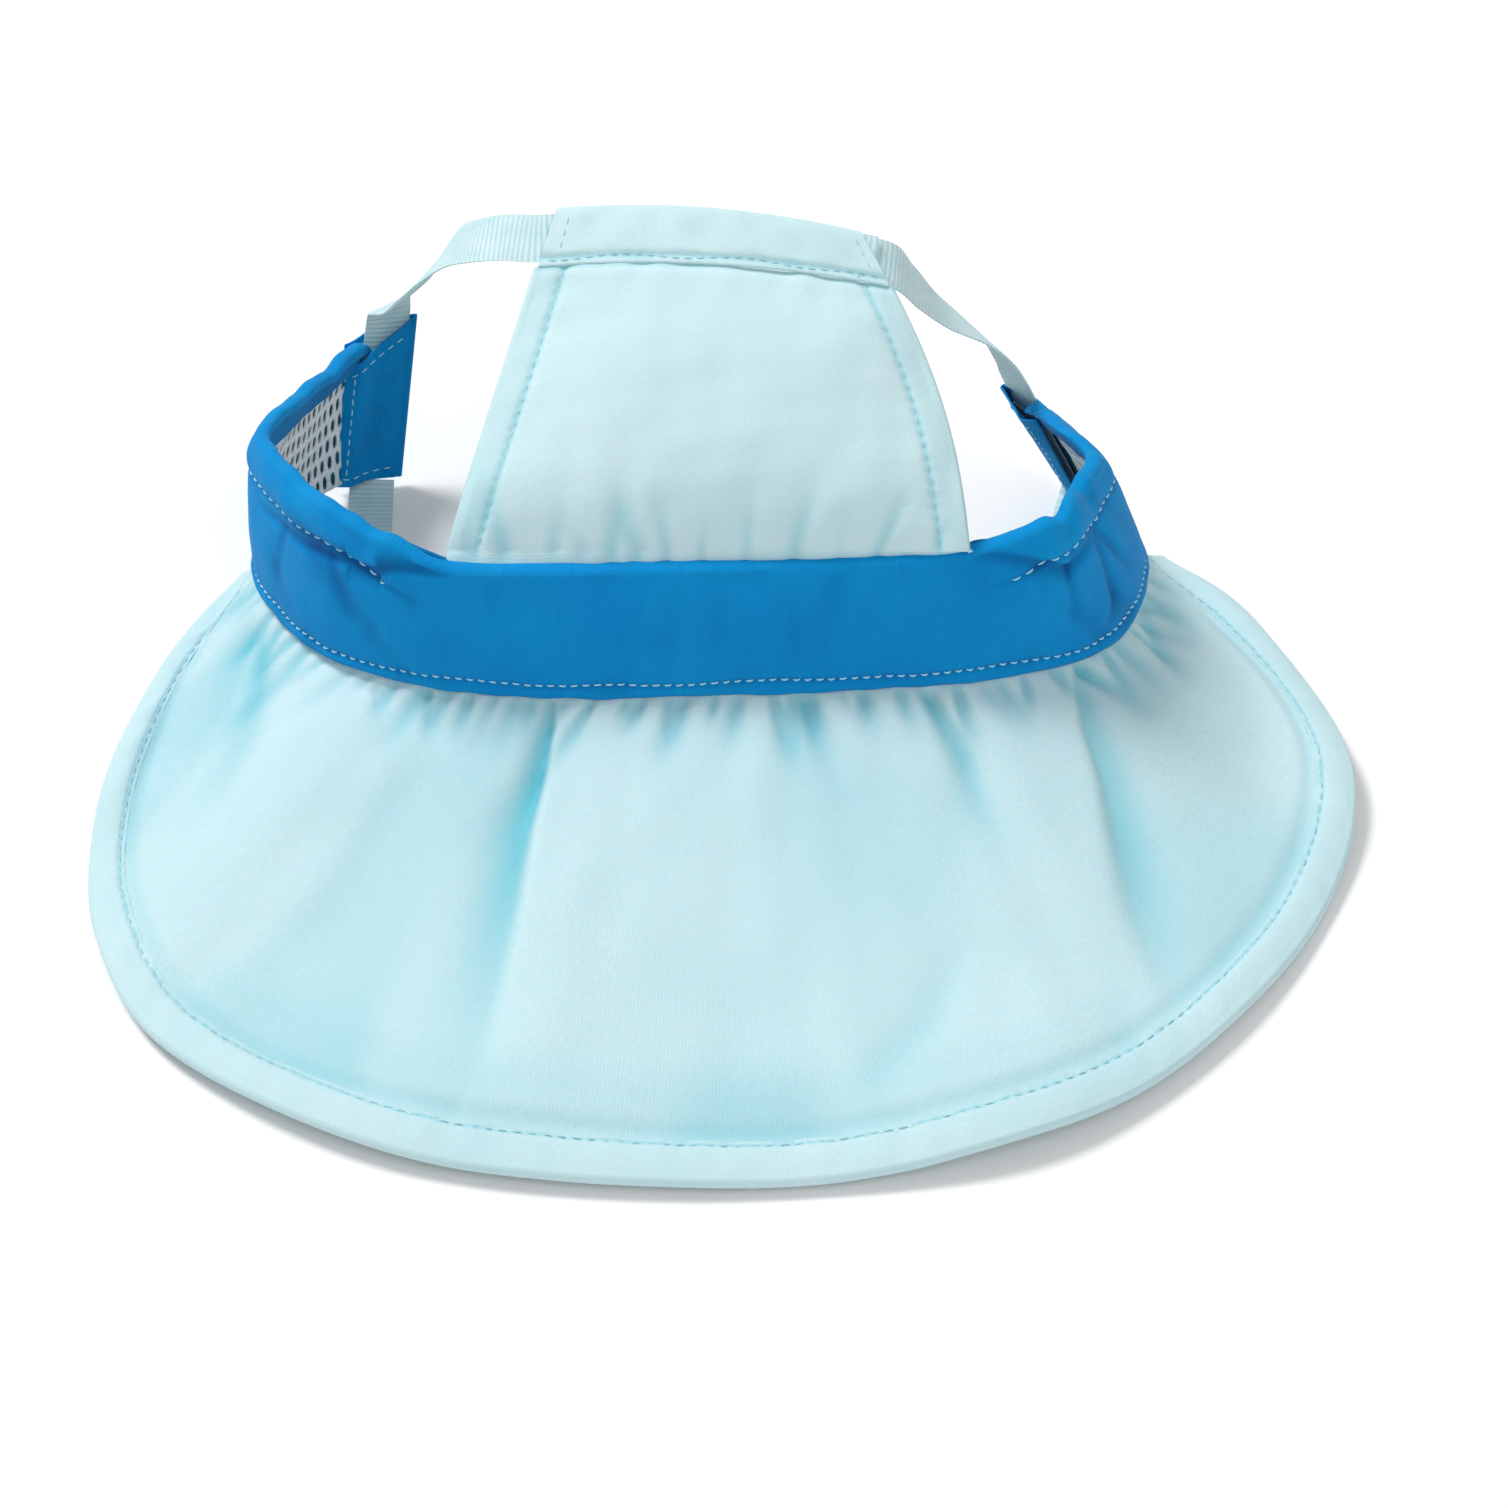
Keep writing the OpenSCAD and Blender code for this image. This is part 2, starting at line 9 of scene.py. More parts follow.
import bmesh
import bpy
import numpy as np
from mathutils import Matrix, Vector

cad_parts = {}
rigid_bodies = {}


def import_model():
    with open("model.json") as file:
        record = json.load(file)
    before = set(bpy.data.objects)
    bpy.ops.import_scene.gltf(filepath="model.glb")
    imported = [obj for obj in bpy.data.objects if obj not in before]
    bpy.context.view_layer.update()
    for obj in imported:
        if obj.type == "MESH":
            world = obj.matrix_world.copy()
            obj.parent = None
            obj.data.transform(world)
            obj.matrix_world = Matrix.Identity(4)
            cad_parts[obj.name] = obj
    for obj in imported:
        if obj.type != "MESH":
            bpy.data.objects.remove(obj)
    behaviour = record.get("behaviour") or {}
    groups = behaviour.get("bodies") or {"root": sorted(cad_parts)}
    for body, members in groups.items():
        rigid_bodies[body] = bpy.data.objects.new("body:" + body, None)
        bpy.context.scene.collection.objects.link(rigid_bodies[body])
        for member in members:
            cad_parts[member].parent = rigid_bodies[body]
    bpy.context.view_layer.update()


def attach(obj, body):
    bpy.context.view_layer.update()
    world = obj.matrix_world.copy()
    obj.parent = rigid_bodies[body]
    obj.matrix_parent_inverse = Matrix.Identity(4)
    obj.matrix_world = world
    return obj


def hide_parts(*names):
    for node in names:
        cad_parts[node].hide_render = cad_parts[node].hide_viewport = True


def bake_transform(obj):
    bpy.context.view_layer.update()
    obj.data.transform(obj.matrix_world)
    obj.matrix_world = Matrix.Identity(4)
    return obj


for leftover in list(bpy.data.objects):
    bpy.data.objects.remove(leftover)
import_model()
scene = bpy.context.scene

PART_TO_ROW = np.array([-4.7, 1.6, 0.0])
MM = 0.001

# ---- Camera: 48 degrees above the table, straight on, 1.1 m from the headband ----

camera_data = bpy.data.cameras.new("camera")
camera_data.lens = 125
camera_data.sensor_width = 36
camera = bpy.data.objects.new("camera", camera_data)
camera.location = (0.006, -0.7433, 0.8394)
camera.rotation_euler = (math.radians(42), 0, 0)
scene.collection.objects.link(camera)
scene.camera = camera
scene.view_settings.view_transform = "Standard"

# ---- The part's own curves, as in its source ----

LOWER_EDGE = [
    (-82, 91, 4), (-91, 77, 9), (-98, 57, 15), (-97, 42, 18.7), (-87, 22.5, 24), (-75, 11, 27),
    (-57, 3, 29.3), (-30, -0.8, 30), (0, 0, 30), (31, 2, 29.5), (58, 5.5, 28.5), (80, 14, 26),
    (91, 26, 23), (96.5, 45, 18), (96, 60, 14.5), (92, 71, 11), (86, 81, 8),
]
UPPER_EDGE = [
    (-77, 101, 43.5), (-84, 85, 47), (-90.5, 68, 53), (-95.5, 50, 58), (-87, 32, 63), (-75, 18, 65),
    (-57, 9, 60), (-30, 9, 58.5), (0, 10, 58.5), (31, 11.5, 58.5), (57, 14, 59.5), (74, 17, 66),
    (80, 31, 63), (84, 43, 59), (78, 55, 56), (74, 65, 51.5), (72, 71, 47.5),
]
OUTER_EDGE = [
    (-102, 62), (-119, 28), (-128, -8), (-126, -42), (-108, -74), (-62, -100), (-2, -107.5),
    (52, -101.5), (92, -82), (126, -42), (138, 0), (121, 43), (101, 67),
]
# Stations along LOWER_EDGE: where the brim's seam starts and ends, and the headband's last one.
FIRST_BRIM = 2
LAST_BRIM = 14
BAND_END = 16
BAND_BULGE = 1.5

# The lower and upper corner of each tab's free edge.
TAB_LEFT = ((-69, 93, 3), (-64, 103, 43))
TAB_RIGHT = ((79, 92, 5), (64.8, 80, 43.4))


def on_edge(points):
    """Route rows for a ribbon that stands on its edge on the table."""
    return [(x, y, 5.2, 0, 0, -1) for x, y in points]


# The ribbon's routes, as rows of a point and the direction of the ribbon's width.
REAR_LEFT = [
    (-35, 66, 99.5, 0, 0.82, 0.57), (-41, 68.5, 97.5, 0.05, 0.85, 0.5),
    (-47.5, 71.5, 94, 0.15, 0.9, 0.4), (-53, 76.5, 87.5, 0.3, 0.85, 0.3), (-58, 81.5, 77, 0.5, 0.8, 0.1),
    (-62.5, 87, 66, 0.65, 0.75, 0), (-66.5, 93.5, 56, 0.66, 0.75, 0), (-69.3, 99.5, 49.3, 0.8, 0.6, 0),
    (-70, 101.6, 45, 0.93, 0.37, 0),
]
REAR_RIGHT = [
    (40.2, 62.8, 94.4, -0.1, 0.85, 0.5), (44.8, 64.5, 87, -0.15, 0.87, 0.4),
    (50.5, 66.5, 78.5, -0.3, 0.85, 0.2), (57.9, 69, 70, -0.5, 0.8, 0), (63, 71.5, 62, -0.6, 0.75, 0),
    (66.2, 73.6, 54, -0.6, 0.8, -0.2), (67.8, 74.8, 48.8, -0.6, 0.75, -0.25),
]
CHIN_LEFT = [
    (-75.5, 91.7, 2.8, -1, 0, 0), (-75.6, 88.5, 1.2, -1, 0, 0), (-75.6, 84, 0.6, -1, 0, 0),
    (-75.5, 76, 0.5, -1, 0, 0), (-75, 68, 0.5, -1, 0, 0), (-73.5, 58, 1.2, -1, 0, -0.1),
    (-70, 48, 4, -0.7, 0, -0.7),
] + on_edge([
    (-63, 39), (-52, 33), (-38, 30.5), (-22, 31), (-6, 34), (10, 36), (26, 36), (42, 33), (56, 29),
])
CHIN_RIGHT = [
    (82.8, 86.6, 4.6, -0.5, 0.85, 0), (83, 85.4, 2.6, -0.7, 0.7, 0), (83.1, 83, 1.2, -0.9, 0.4, 0),
    (83, 79, 0.6, -1, 0, 0), (82.5, 73, 0.6, -1, 0, 0), (81, 66, 1.4, -1, 0, -0.1),
    (78, 59, 4.4, -0.7, 0, -0.7),
] + on_edge([
    (72, 53), (63, 49.5), (52, 48.5), (38, 50), (24, 53), (10, 54), (-4, 53), (-18, 50), (-32, 48),
    (-46, 49),
])
RIBBON_WIDTH = 10
RIBBON_THICKNESS = 0.45
RIBBON_STEP = 0.3
RIB_PITCH = 1.2
RIB_HEIGHT = 0.09


def to_row(points):
    """Millimetres in the part's own frame, as metres in the row frame."""
    return (np.asarray(points, float) + PART_TO_ROW) * MM


def smooth(points, u):
    """Points on the smooth curve through points, at stations u."""
    points = np.asarray(points, float)
    u = np.asarray(u, float)
    last = len(points) - 1
    i = np.clip(np.floor(u).astype(int), 0, last - 1)
    f = (u - i)[..., None]
    a = points[np.maximum(i - 1, 0)]
    b = points[i]
    c = points[i + 1]
    d = points[np.minimum(i + 2, last)]
    return 0.5 * (2 * b + (c - a) * f + (2 * a - 5 * b + 4 * c - d) * f ** 2
                  + (3 * b - a - 3 * c + d) * f ** 3)


def mix(a, b, t):
    return a + (b - a) * t


def unit(v):
    return v / np.linalg.norm(v, axis=-1, keepdims=True)


def ramp(x, low, high):
    """0 below low, 1 above high, and smooth between."""
    t = np.clip((x - low) / (high - low), 0, 1)
    return t * t * (3 - 2 * t)


def bell(x, width):
    return np.exp(-(x / width) ** 2)


def along(points):
    """Distance along a row of points, from the first."""
    steps = np.linalg.norm(np.diff(points, axis=0), axis=1)
    return np.concatenate([[0], np.cumsum(steps)])


def ripple(x, y, size, seed, waves=9):
    """A soft, seeded unevenness of about -1 to 1, with waves about size long."""
    rng = np.random.default_rng(seed)
    total = 0
    for _ in range(waves):
        turn = rng.uniform(0, math.tau)
        k = math.tau / (size * rng.uniform(0.7, 1.6))
        total = total + np.cos(k * (x * math.cos(turn) + y * math.sin(turn)) + rng.uniform(0, math.tau))
    return total / math.sqrt(waves) * 0.7


def fold_depth(x, y, fold):
    """How deep the surface lies in one fold, at points x, y."""
    fold = np.asarray(fold, float)
    nearest = np.full(x.shape, np.inf)
    depth = np.zeros(x.shape)
    for a, b in zip(fold[:-1], fold[1:]):
        run = b[:2] - a[:2]
        share = np.clip(((x - a[0]) * run[0] + (y - a[1]) * run[1]) / (run @ run), 0, 1)
        row = a + (b - a) * share[..., None]
        dx = x - row[..., 0]
        away = np.hypot(dx, y - row[..., 1])
        side = (x - a[0]) * run[1] - (y - a[1]) * run[0]
        side = side * (1 if run[1] > 0 else -1)
        width = np.where(side < 0, row[..., 3], row[..., 4])
        here = row[..., 2] * bell(away, width)
        closer = away < nearest
        depth = np.where(closer, here, depth)
        nearest = np.where(closer, away, nearest)
    return depth


# ---- Meshes ----

def quads(rows, cols, start=0):
    """The four-cornered faces of a grid of points."""
    i, j = np.meshgrid(np.arange(rows - 1), np.arange(cols - 1), indexing="ij")
    a = start + i * cols + j
    return np.stack([a, a + cols, a + cols + 1, a + 1], -1).reshape(-1, 4)


SHARP_EDGE = 50


def make_piece(name, points, faces, material, weave, shade=None):
    """A mesh object from millimetre points. weave is each point's place on the flat cloth in
    millimetres, and shade is the painted shade in folds that darkens its colour, 0 to 1."""
    mesh = bpy.data.meshes.new(name)
    points = np.asarray(points, float).reshape(-1, 3)
    if isinstance(faces, np.ndarray):
        faces = faces.tolist()
    mesh.from_pydata(to_row(points).tolist(), [], faces)
    weave = np.column_stack([weave, np.zeros(len(points))])
    mesh.attributes.new("weave", "FLOAT_VECTOR", "POINT").data.foreach_set("vector", weave.ravel())
    if shade is None:
        shade = np.zeros(len(points))
    mesh.attributes.new("shade", "FLOAT", "POINT").data.foreach_set("value", np.ravel(shade))
    shell = bmesh.new()
    shell.from_mesh(mesh)
    bmesh.ops.recalc_face_normals(shell, faces=shell.faces)
    shell.to_mesh(mesh)
    shell.free()
    mesh.shade_smooth()
    mesh.set_sharp_from_angle(angle=math.radians(SHARP_EDGE))
    mesh.materials.append(material)
    piece = bpy.data.objects.new(name, mesh)
    scene.collection.objects.link(piece)
    return piece


def slab(name, face, back, material, weave, shade=None):
    """A closed sheet between two grids of points."""
    rows, cols = face.shape[:2]
    n = rows * cols
    edge = np.concatenate([np.arange(cols), np.arange(1, rows) * cols + cols - 1,
                           (rows - 1) * cols + np.arange(cols - 2, -1, -1),
                           np.arange(rows - 2, 0, -1) * cols])
    after = np.roll(edge, -1)
    rim = np.stack([edge, after, after + n, edge + n], -1)
    faces = np.concatenate([quads(rows, cols), quads(rows, cols, n)[:, ::-1], rim])
    points = np.concatenate([face.reshape(-1, 3), back.reshape(-1, 3)])
    weave = np.tile(weave.reshape(n, 2), (2, 1))
    if shade is not None:
        shade = np.tile(np.ravel(shade), 2)
    return make_piece(name, points, faces, material, weave, shade)


def grid_normals(grid):
    """Unit normals of a grid of points, right-handed from its rows to its columns."""
    return unit(np.cross(np.gradient(grid, axis=0), np.gradient(grid, axis=1)))


def thicken(grid, depth):
    """The grid moved along its own normals."""
    return grid + grid_normals(grid) * depth


def stitches(name, path, normals, material, slot, pitch, length, radius=0.22):
    """A row of separate stitches along a path, each sinking into the cloth at both ends."""
    normals = np.broadcast_to(normals, path.shape)
    s = along(path)
    steps = 7
    sides = 6
    count = int((s[-1] - length) / pitch) + 1
    margin = (s[-1] - (count - 1) * pitch - length) / 2
    share = np.linspace(0, 1, steps)
    place = margin + np.arange(count)[:, None] * pitch + share[None, :] * length
    centre = np.stack([np.interp(place, s, path[:, k]) for k in range(3)], -1)
    up = unit(np.stack([np.interp(place, s, normals[:, k]) for k in range(3)], -1))
    ahead = unit(np.gradient(centre, axis=1))
    side = unit(np.cross(ahead, up))
    bow = np.sin(np.pi * share) ** 0.6
    centre = centre + up * (radius * (1.5 * bow - 0.9))[None, :, None]
    size = radius * (0.5 + 0.5 * bow)[None, :, None, None]
    turn = np.linspace(0, math.tau, sides, endpoint=False)
    ring = (side[:, :, None] * np.cos(turn)[None, None, :, None]
            + up[:, :, None] * np.sin(turn)[None, None, :, None])
    points = centre[:, :, None] + ring * size
    faces = []
    for base in range(0, count * steps * sides, steps * sides):
        for ring_start in range(base, base + (steps - 1) * sides, sides):
            for j in range(sides):
                a = ring_start + j
                b = ring_start + (j + 1) % sides
                faces.append((a, b, b + sides, a + sides))
        for end in (base, base + (steps - 1) * sides):
            faces.append(tuple(range(end, end + sides)))
    flat = np.repeat(place.reshape(-1, 1), sides, 0)
    around = np.tile(turn, count * steps).reshape(-1, 1)
    return make_piece(name, points, faces, material, np.hstack([flat, around]))


# ---- Materials ----

def srgb(red, green, blue):
    """A colour given as 0 to 255 display values, as the linear values that shaders take."""
    values = np.array([red, green, blue]) / 255
    linear = np.where(values <= 0.04045, values / 12.92, ((values + 0.055) / 1.055) ** 2.4)
    return (*linear.tolist(), 1)


# Distance between a wave texture's bands at scale 1.
WAVE_PERIOD = 0.314
# Places of the Mix node's two colour inputs.
MIX_COLOURS = (6, 7)


class Cloth:
    """A cloth's node material, with what differs between cloths given as numbers."""

    def __init__(self, name, roughness=0.8, sheen=0.2, subsurface=0.0, gloss=0.3):
        self.material = bpy.data.materials.new(name)
        self.material.use_nodes = True
        self.nodes = self.material.node_tree.nodes
        self.links = self.material.node_tree.links
        self.shader = self.nodes["Principled BSDF"]
        self.shader.inputs["Roughness"].default_value = roughness
        self.shader.inputs["Sheen Weight"].default_value = sheen
        self.shader.inputs["Sheen Roughness"].default_value = 0.5
        self.shader.inputs["Specular IOR Level"].default_value = gloss
        if subsurface:
            self.shader.inputs["Subsurface Weight"].default_value = subsurface
            self.shader.inputs["Subsurface Scale"].default_value = 0.002
        self.place = self.new("ShaderNodeAttribute", attribute_name="weave").outputs["Vector"]

    def new(self, kind, **settings):
        node = self.nodes.new(kind)
        for key, value in settings.items():
            setattr(node, key, value)
        return node

    def noise(self, scale, detail=2):
        """Noise over the flat cloth, with scale in waves per millimetre each way."""
        mapping = self.new("ShaderNodeMapping")
        mapping.inputs["Scale"].default_value = (scale[0], scale[1], 1)
        self.links.new(self.place, mapping.inputs["Vector"])
        texture = self.new("ShaderNodeTexNoise")
        texture.inputs["Scale"].default_value = 1
        texture.inputs["Detail"].default_value = detail
        self.links.new(mapping.outputs["Vector"], texture.inputs["Vector"])
        return texture.outputs["Fac"]

    def threads(self, pitch, direction):
        """Fine bands across the flat cloth, pitch millimetres apart."""
        texture = self.new("ShaderNodeTexWave", bands_direction=direction)
        texture.inputs["Scale"].default_value = WAVE_PERIOD / pitch
        texture.inputs["Distortion"].default_value = 0.6
        texture.inputs["Detail Scale"].default_value = 1.5
        self.links.new(self.place, texture.inputs["Vector"])
        return texture.outputs["Fac"]

    def spread(self, value, low, high):
        """The value stretched so that low becomes 0 and high becomes 1."""
        span = self.new("ShaderNodeMapRange")
        span.inputs["From Min"].default_value = low
        span.inputs["From Max"].default_value = high
        self.links.new(value, span.inputs["Value"])
        return span.outputs["Result"]

    def blend(self, share, first, second):
        """A colour between two, each given as a colour or as another node's output."""
        node = self.new("ShaderNodeMix", data_type="RGBA")
        self.links.new(share, node.inputs["Factor"])
        for key, colour in zip(MIX_COLOURS, (first, second)):
            if isinstance(colour, tuple):
                node.inputs[key].default_value = colour
            else:
                self.links.new(colour, node.inputs[key])
        return node.outputs[2]

    def shade(self):
        """Painted shade: how deep in a fold the surface lies, as the share of the shade colour."""
        node = self.new("ShaderNodeAttribute", attribute_name="shade")
        return self.spread(node.outputs["Fac"], 0.05, 1.0)

    def bump(self, parts, distance=0.0004):
        """Bump from a list of (height, strength), one on top of the other."""
        normal = None
        for height, strength in parts:
            node = self.new("ShaderNodeBump")
            node.inputs["Strength"].default_value = strength
            node.inputs["Distance"].default_value = distance
            self.links.new(height, node.inputs["Height"])
            if normal is not None:
                self.links.new(normal, node.inputs["Normal"])
            normal = node.outputs["Normal"]
        self.links.new(normal, self.shader.inputs["Normal"])

    def colour(self, value):
        self.links.new(value, self.shader.inputs["Base Color"])
        return self.material


def aqua_cloth(name, pale, base, painted_shade):
    cloth = Cloth(name, roughness=0.8, sheen=0.1, subsurface=0.12, gloss=0.2)
    patches = cloth.spread(cloth.noise((0.03, 0.02), 3), 0.3, 0.7)
    fibres = cloth.spread(cloth.noise((2.2, 0.5), 2), 0.2, 0.9)
    body = cloth.blend(patches, base, pale)
    body = cloth.blend(fibres, body, base)
    # Painted shade: the colour turns toward the third colour in folds and creases, as the shade attribute
    # says.
    body = cloth.blend(cloth.shade(), body, painted_shade)
    cloth.bump([(cloth.threads(0.42, "X"), 0.12), (cloth.threads(0.5, "Y"), 0.1),
                (cloth.noise((0.9, 0.5), 3), 0.25)])
    return cloth.colour(body)


def blue_cloth(name, pale, base, painted_shade):
    cloth = Cloth(name, roughness=0.8, sheen=0.02, gloss=0.12)
    patches = cloth.spread(cloth.noise((0.05, 0.04), 3), 0.35, 0.75)
    yarn = cloth.noise((2.4, 0.10), 2)
    streaks = cloth.spread(yarn, 0.25, 0.85)
    body = cloth.blend(patches, base, pale)
    body = cloth.blend(streaks, body, base)
    # Painted shade: the colour turns toward the third colour in folds and creases, as the shade attribute
    # says.
    body = cloth.blend(cloth.shade(), body, painted_shade)
    cloth.bump([(yarn, 0.5), (cloth.threads(0.45, "Y"), 0.12),
                (cloth.noise((0.35, 0.25), 3), 0.3)])
    return cloth.colour(body)


def plain_cloth(name, pale, base, grain):
    """A cloth with one even grain, given in waves per millimetre."""
    cloth = Cloth(name, roughness=0.85, sheen=0.2, gloss=0.2)
    tone = cloth.spread(cloth.noise((grain, grain), 3), 0.3, 0.7)
    cloth.bump([(cloth.noise((grain * 3, grain * 3), 3), 0.5)])
    return cloth.colour(cloth.blend(tone, base, pale))


def grosgrain(name, pale, base, painted_shade):
    cloth = Cloth(name, roughness=0.5, sheen=0.1, subsurface=0.08, gloss=0.35)
    ribs = cloth.threads(RIB_PITCH, "X")
    tone = cloth.spread(cloth.noise((0.08, 0.2), 2), 0.3, 0.7)
    body = cloth.blend(tone, base, pale)
    # Painted shade in the grooves between the ribs.
    body = cloth.blend(cloth.spread(ribs, 0.9, -1.2), body, painted_shade)
    cloth.bump([(cloth.threads(0.3, "Y"), 0.2), (cloth.noise((3, 1.5), 2), 0.2)])
    return cloth.colour(body)


def thread(name, pale, base):
    yarn = Cloth(name, roughness=0.5, sheen=0.3, gloss=0.4)
    twist = yarn.spread(yarn.noise((2.5, 1.2), 2), 0.3, 0.7)
    yarn.bump([(yarn.noise((3.5, 1.0), 2), 0.6)], distance=0.0001)
    return yarn.colour(yarn.blend(twist, base, pale))


# Each cloth's and the ribbon's third colour is its painted shade colour.
AQUA = aqua_cloth("aqua_cloth", srgb(202, 226, 230), srgb(186, 217, 223), srgb(84, 184, 200))
# Painted light: the crown's cloth is a lighter copy of the brim's aqua cloth, so that the crown comes out
# brighter than the brim.
CROWN_AQUA_PAINTED_LIGHT = aqua_cloth("crown_aqua_cloth_painted_light", srgb(206, 229, 233), srgb(194, 223, 228), srgb(108, 194, 207))
LINING = aqua_cloth("aqua_lining", srgb(190, 216, 221), srgb(174, 206, 213), srgb(84, 184, 200))
BLUE = blue_cloth("blue_cloth", srgb(4, 147, 205), srgb(1, 131, 199), srgb(0, 80, 142))
FACING = blue_cloth("blue_facing", srgb(4, 130, 190), srgb(1, 110, 172), srgb(0, 74, 130))
MESH = plain_cloth("white_mesh", srgb(236, 240, 241), srgb(214, 222, 226), 0.5)
# Painted shade: the headband's interlining is a dark teal, the blue cloth as it looks in shade through the
# mesh holes.
TEAL_BACKING_PAINTED_SHADE = plain_cloth("teal_backing_painted_shade", srgb(18, 104, 134), srgb(10, 84, 116), 0.4)
STIFFENING = plain_cloth("stiffening", srgb(232, 233, 231), srgb(214, 217, 214), 0.4)
WADDING = plain_cloth("wadding", srgb(238, 239, 237), srgb(222, 224, 222), 0.25)
RIBBON = grosgrain("grosgrain_ribbon", srgb(214, 230, 233), srgb(196, 224, 228), srgb(104, 190, 200))
PALE_THREAD = thread("pale_thread", srgb(190, 230, 244), srgb(140, 208, 232))
AQUA_THREAD = thread("aqua_thread", srgb(178, 222, 228), srgb(140, 204, 214))

# ---- Ribbons, the two free ones first ----


def ribbon(name, route):
    """A grosgrain ribbon along a route of points and width directions, with real cross ribs."""
    route = np.asarray(route, float)
    fine = np.linspace(0, len(route) - 1, 60 * (len(route) - 1) + 1)
    centre = smooth(route, fine)
    s = along(centre[:, :3])
    place = np.linspace(0, s[-1], max(2, int(s[-1] / RIBBON_STEP)) + 1)
    u = np.interp(place, s, fine)
    rows = smooth(route, u)
    centre = rows[:, :3]
    ahead = unit(np.gradient(centre, axis=0))
    rough = rows[:, 3:]
    across = unit(rough - ahead * np.sum(rough * ahead, -1, keepdims=True))
    up = np.cross(ahead, across)
    share = np.array([-1, -0.93, -0.8, -0.4, 0, 0.4, 0.8, 0.93, 1])
    ribs = RIB_HEIGHT * np.cos(place * math.tau / RIB_PITCH)[:, None] * np.where(np.abs(share) < 0.9, 1, 0.2)
    half = RIBBON_THICKNESS / 2 * np.where(np.abs(share) > 0.9, 0.75, 1)
    spread = centre[:, None] + across[:, None] * (share * RIBBON_WIDTH / 2)[None, :, None]
    rise = up[:, None] * (half[None, :] + ribs)[..., None]
    weave = np.stack(np.broadcast_arrays(place[:, None], share[None, :] * RIBBON_WIDTH / 2), -1)
    piece = slab(name, spread + rise, spread - rise, RIBBON, weave)
    return piece, centre, s[-1]


def free_end(name, route, node):
    piece, centre, _ = ribbon(name, route)
    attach(piece, "headband")
    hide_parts(node)


free_end("chin_tie_left", CHIN_LEFT, "chin_ribbon_left")
free_end("chin_tie_right", CHIN_RIGHT, "chin_ribbon_right")

# ---- Headband ----


def band_outward(u):
    """The level direction that the headband faces, at stations u."""
    step = smooth(LOWER_EDGE, np.minimum(u + 0.1, BAND_END)) - smooth(LOWER_EDGE, np.maximum(u - 0.1, 0))
    return unit(np.stack([step[..., 1], -step[..., 0], np.zeros_like(step[..., 0])], -1))


# Where the wings' top edge is crumpled: station, rise and reach.
CRUMPLES = [(0, -5.5, 0.5), (1, -3, 0.6), (2, -1.5, 0.5), (4.2, -1.3, 0.2), (5.2, 0.6, 0.2),
            (5.7, 2.6, 0.26), (11.1, -1.8, 0.2), (11.9, -2.0, 0.25), (12.5, -0.6, 0.3)]


def top_crumple(u):
    wings = ramp(-u, -6.4, -5.9) + ramp(u, 9.9, 10.4)
    total = 0.45 * ripple(u * 20, 0 * u, 9, 14) * wings
    for station, rise, reach in CRUMPLES:
        total = total + rise * bell(u - station, reach)
    return total


def band_height(u):
    return np.linalg.norm(smooth(UPPER_EDGE, u) - smooth(LOWER_EDGE, u), axis=-1)


def band_point(u, h, d):
    """A point h millimetres up the headband from its lower edge, d out from its face."""
    low = smooth(LOWER_EDGE, u)
    v = h / band_height(u)
    bulge = BAND_BULGE * np.sin(np.pi * np.clip(v, 0, 1))
    point = low + (smooth(UPPER_EDGE, u) - low) * v[..., None] + band_outward(u) * (d + bulge)[..., None]
    point[..., 2] += top_crumple(u) * ramp(v, 0.6, 1)
    return point


BAND_U = np.linspace(0, BAND_END, 481)
BAND_S = along(smooth(LOWER_EDGE, BAND_U))
LOWER_STITCH = 3.5
UPPER_STITCH = 9


def wing_share(u):
    """1 on the headband's wings, where the strip along the top is stitched down, 0 in front."""
    return ramp(-u, -6.2, -5.4) + ramp(u, 9.9, 10.6)


# The wings' pressed creases, as rows of distance along the seam, height, depth and two widths.
BAND_CREASES = [
    [(66, 27, 0.5, 2, 1), (84, 27.4, 1.1, 3, 1.1), (96, 28.6, 1.3, 3.2, 1.2), (104, 28.2, 1.3, 3, 1.1),
     (112, 29, 1.2, 2.6, 1), (119, 30, 0.8, 2, 1)],
    [(268, 32, 0.5, 2, 1.4), (255, 27.5, 1.2, 3, 1.4), (243, 30.5, 1.1, 2.6, 1.2), (231, 31.5, 0.7, 2, 1)],
    [(268, 30, 0.8, 1.2, 1.6), (273, 22, 0.9, 1.4, 2), (278, 13.5, 0.3, 1.6, 2)],
    [(266, 29, 0.8, 1.2, 1.6), (268.5, 11, 0.9, 1.6, 2), (261, 3.5, 0.3, 2, 2)],
    [(254, 27, 0.8, 1.2, 1.6), (254, 14, 0.3, 1.6, 2.2)],
    [(76, 26, 0.7, 1.4, 1.6), (72, 14, 0.3, 2, 2.4)],
    [(92, 27, 0.6, 1.2, 1.6), (97, 15, 0.2, 2, 2.4)],
]


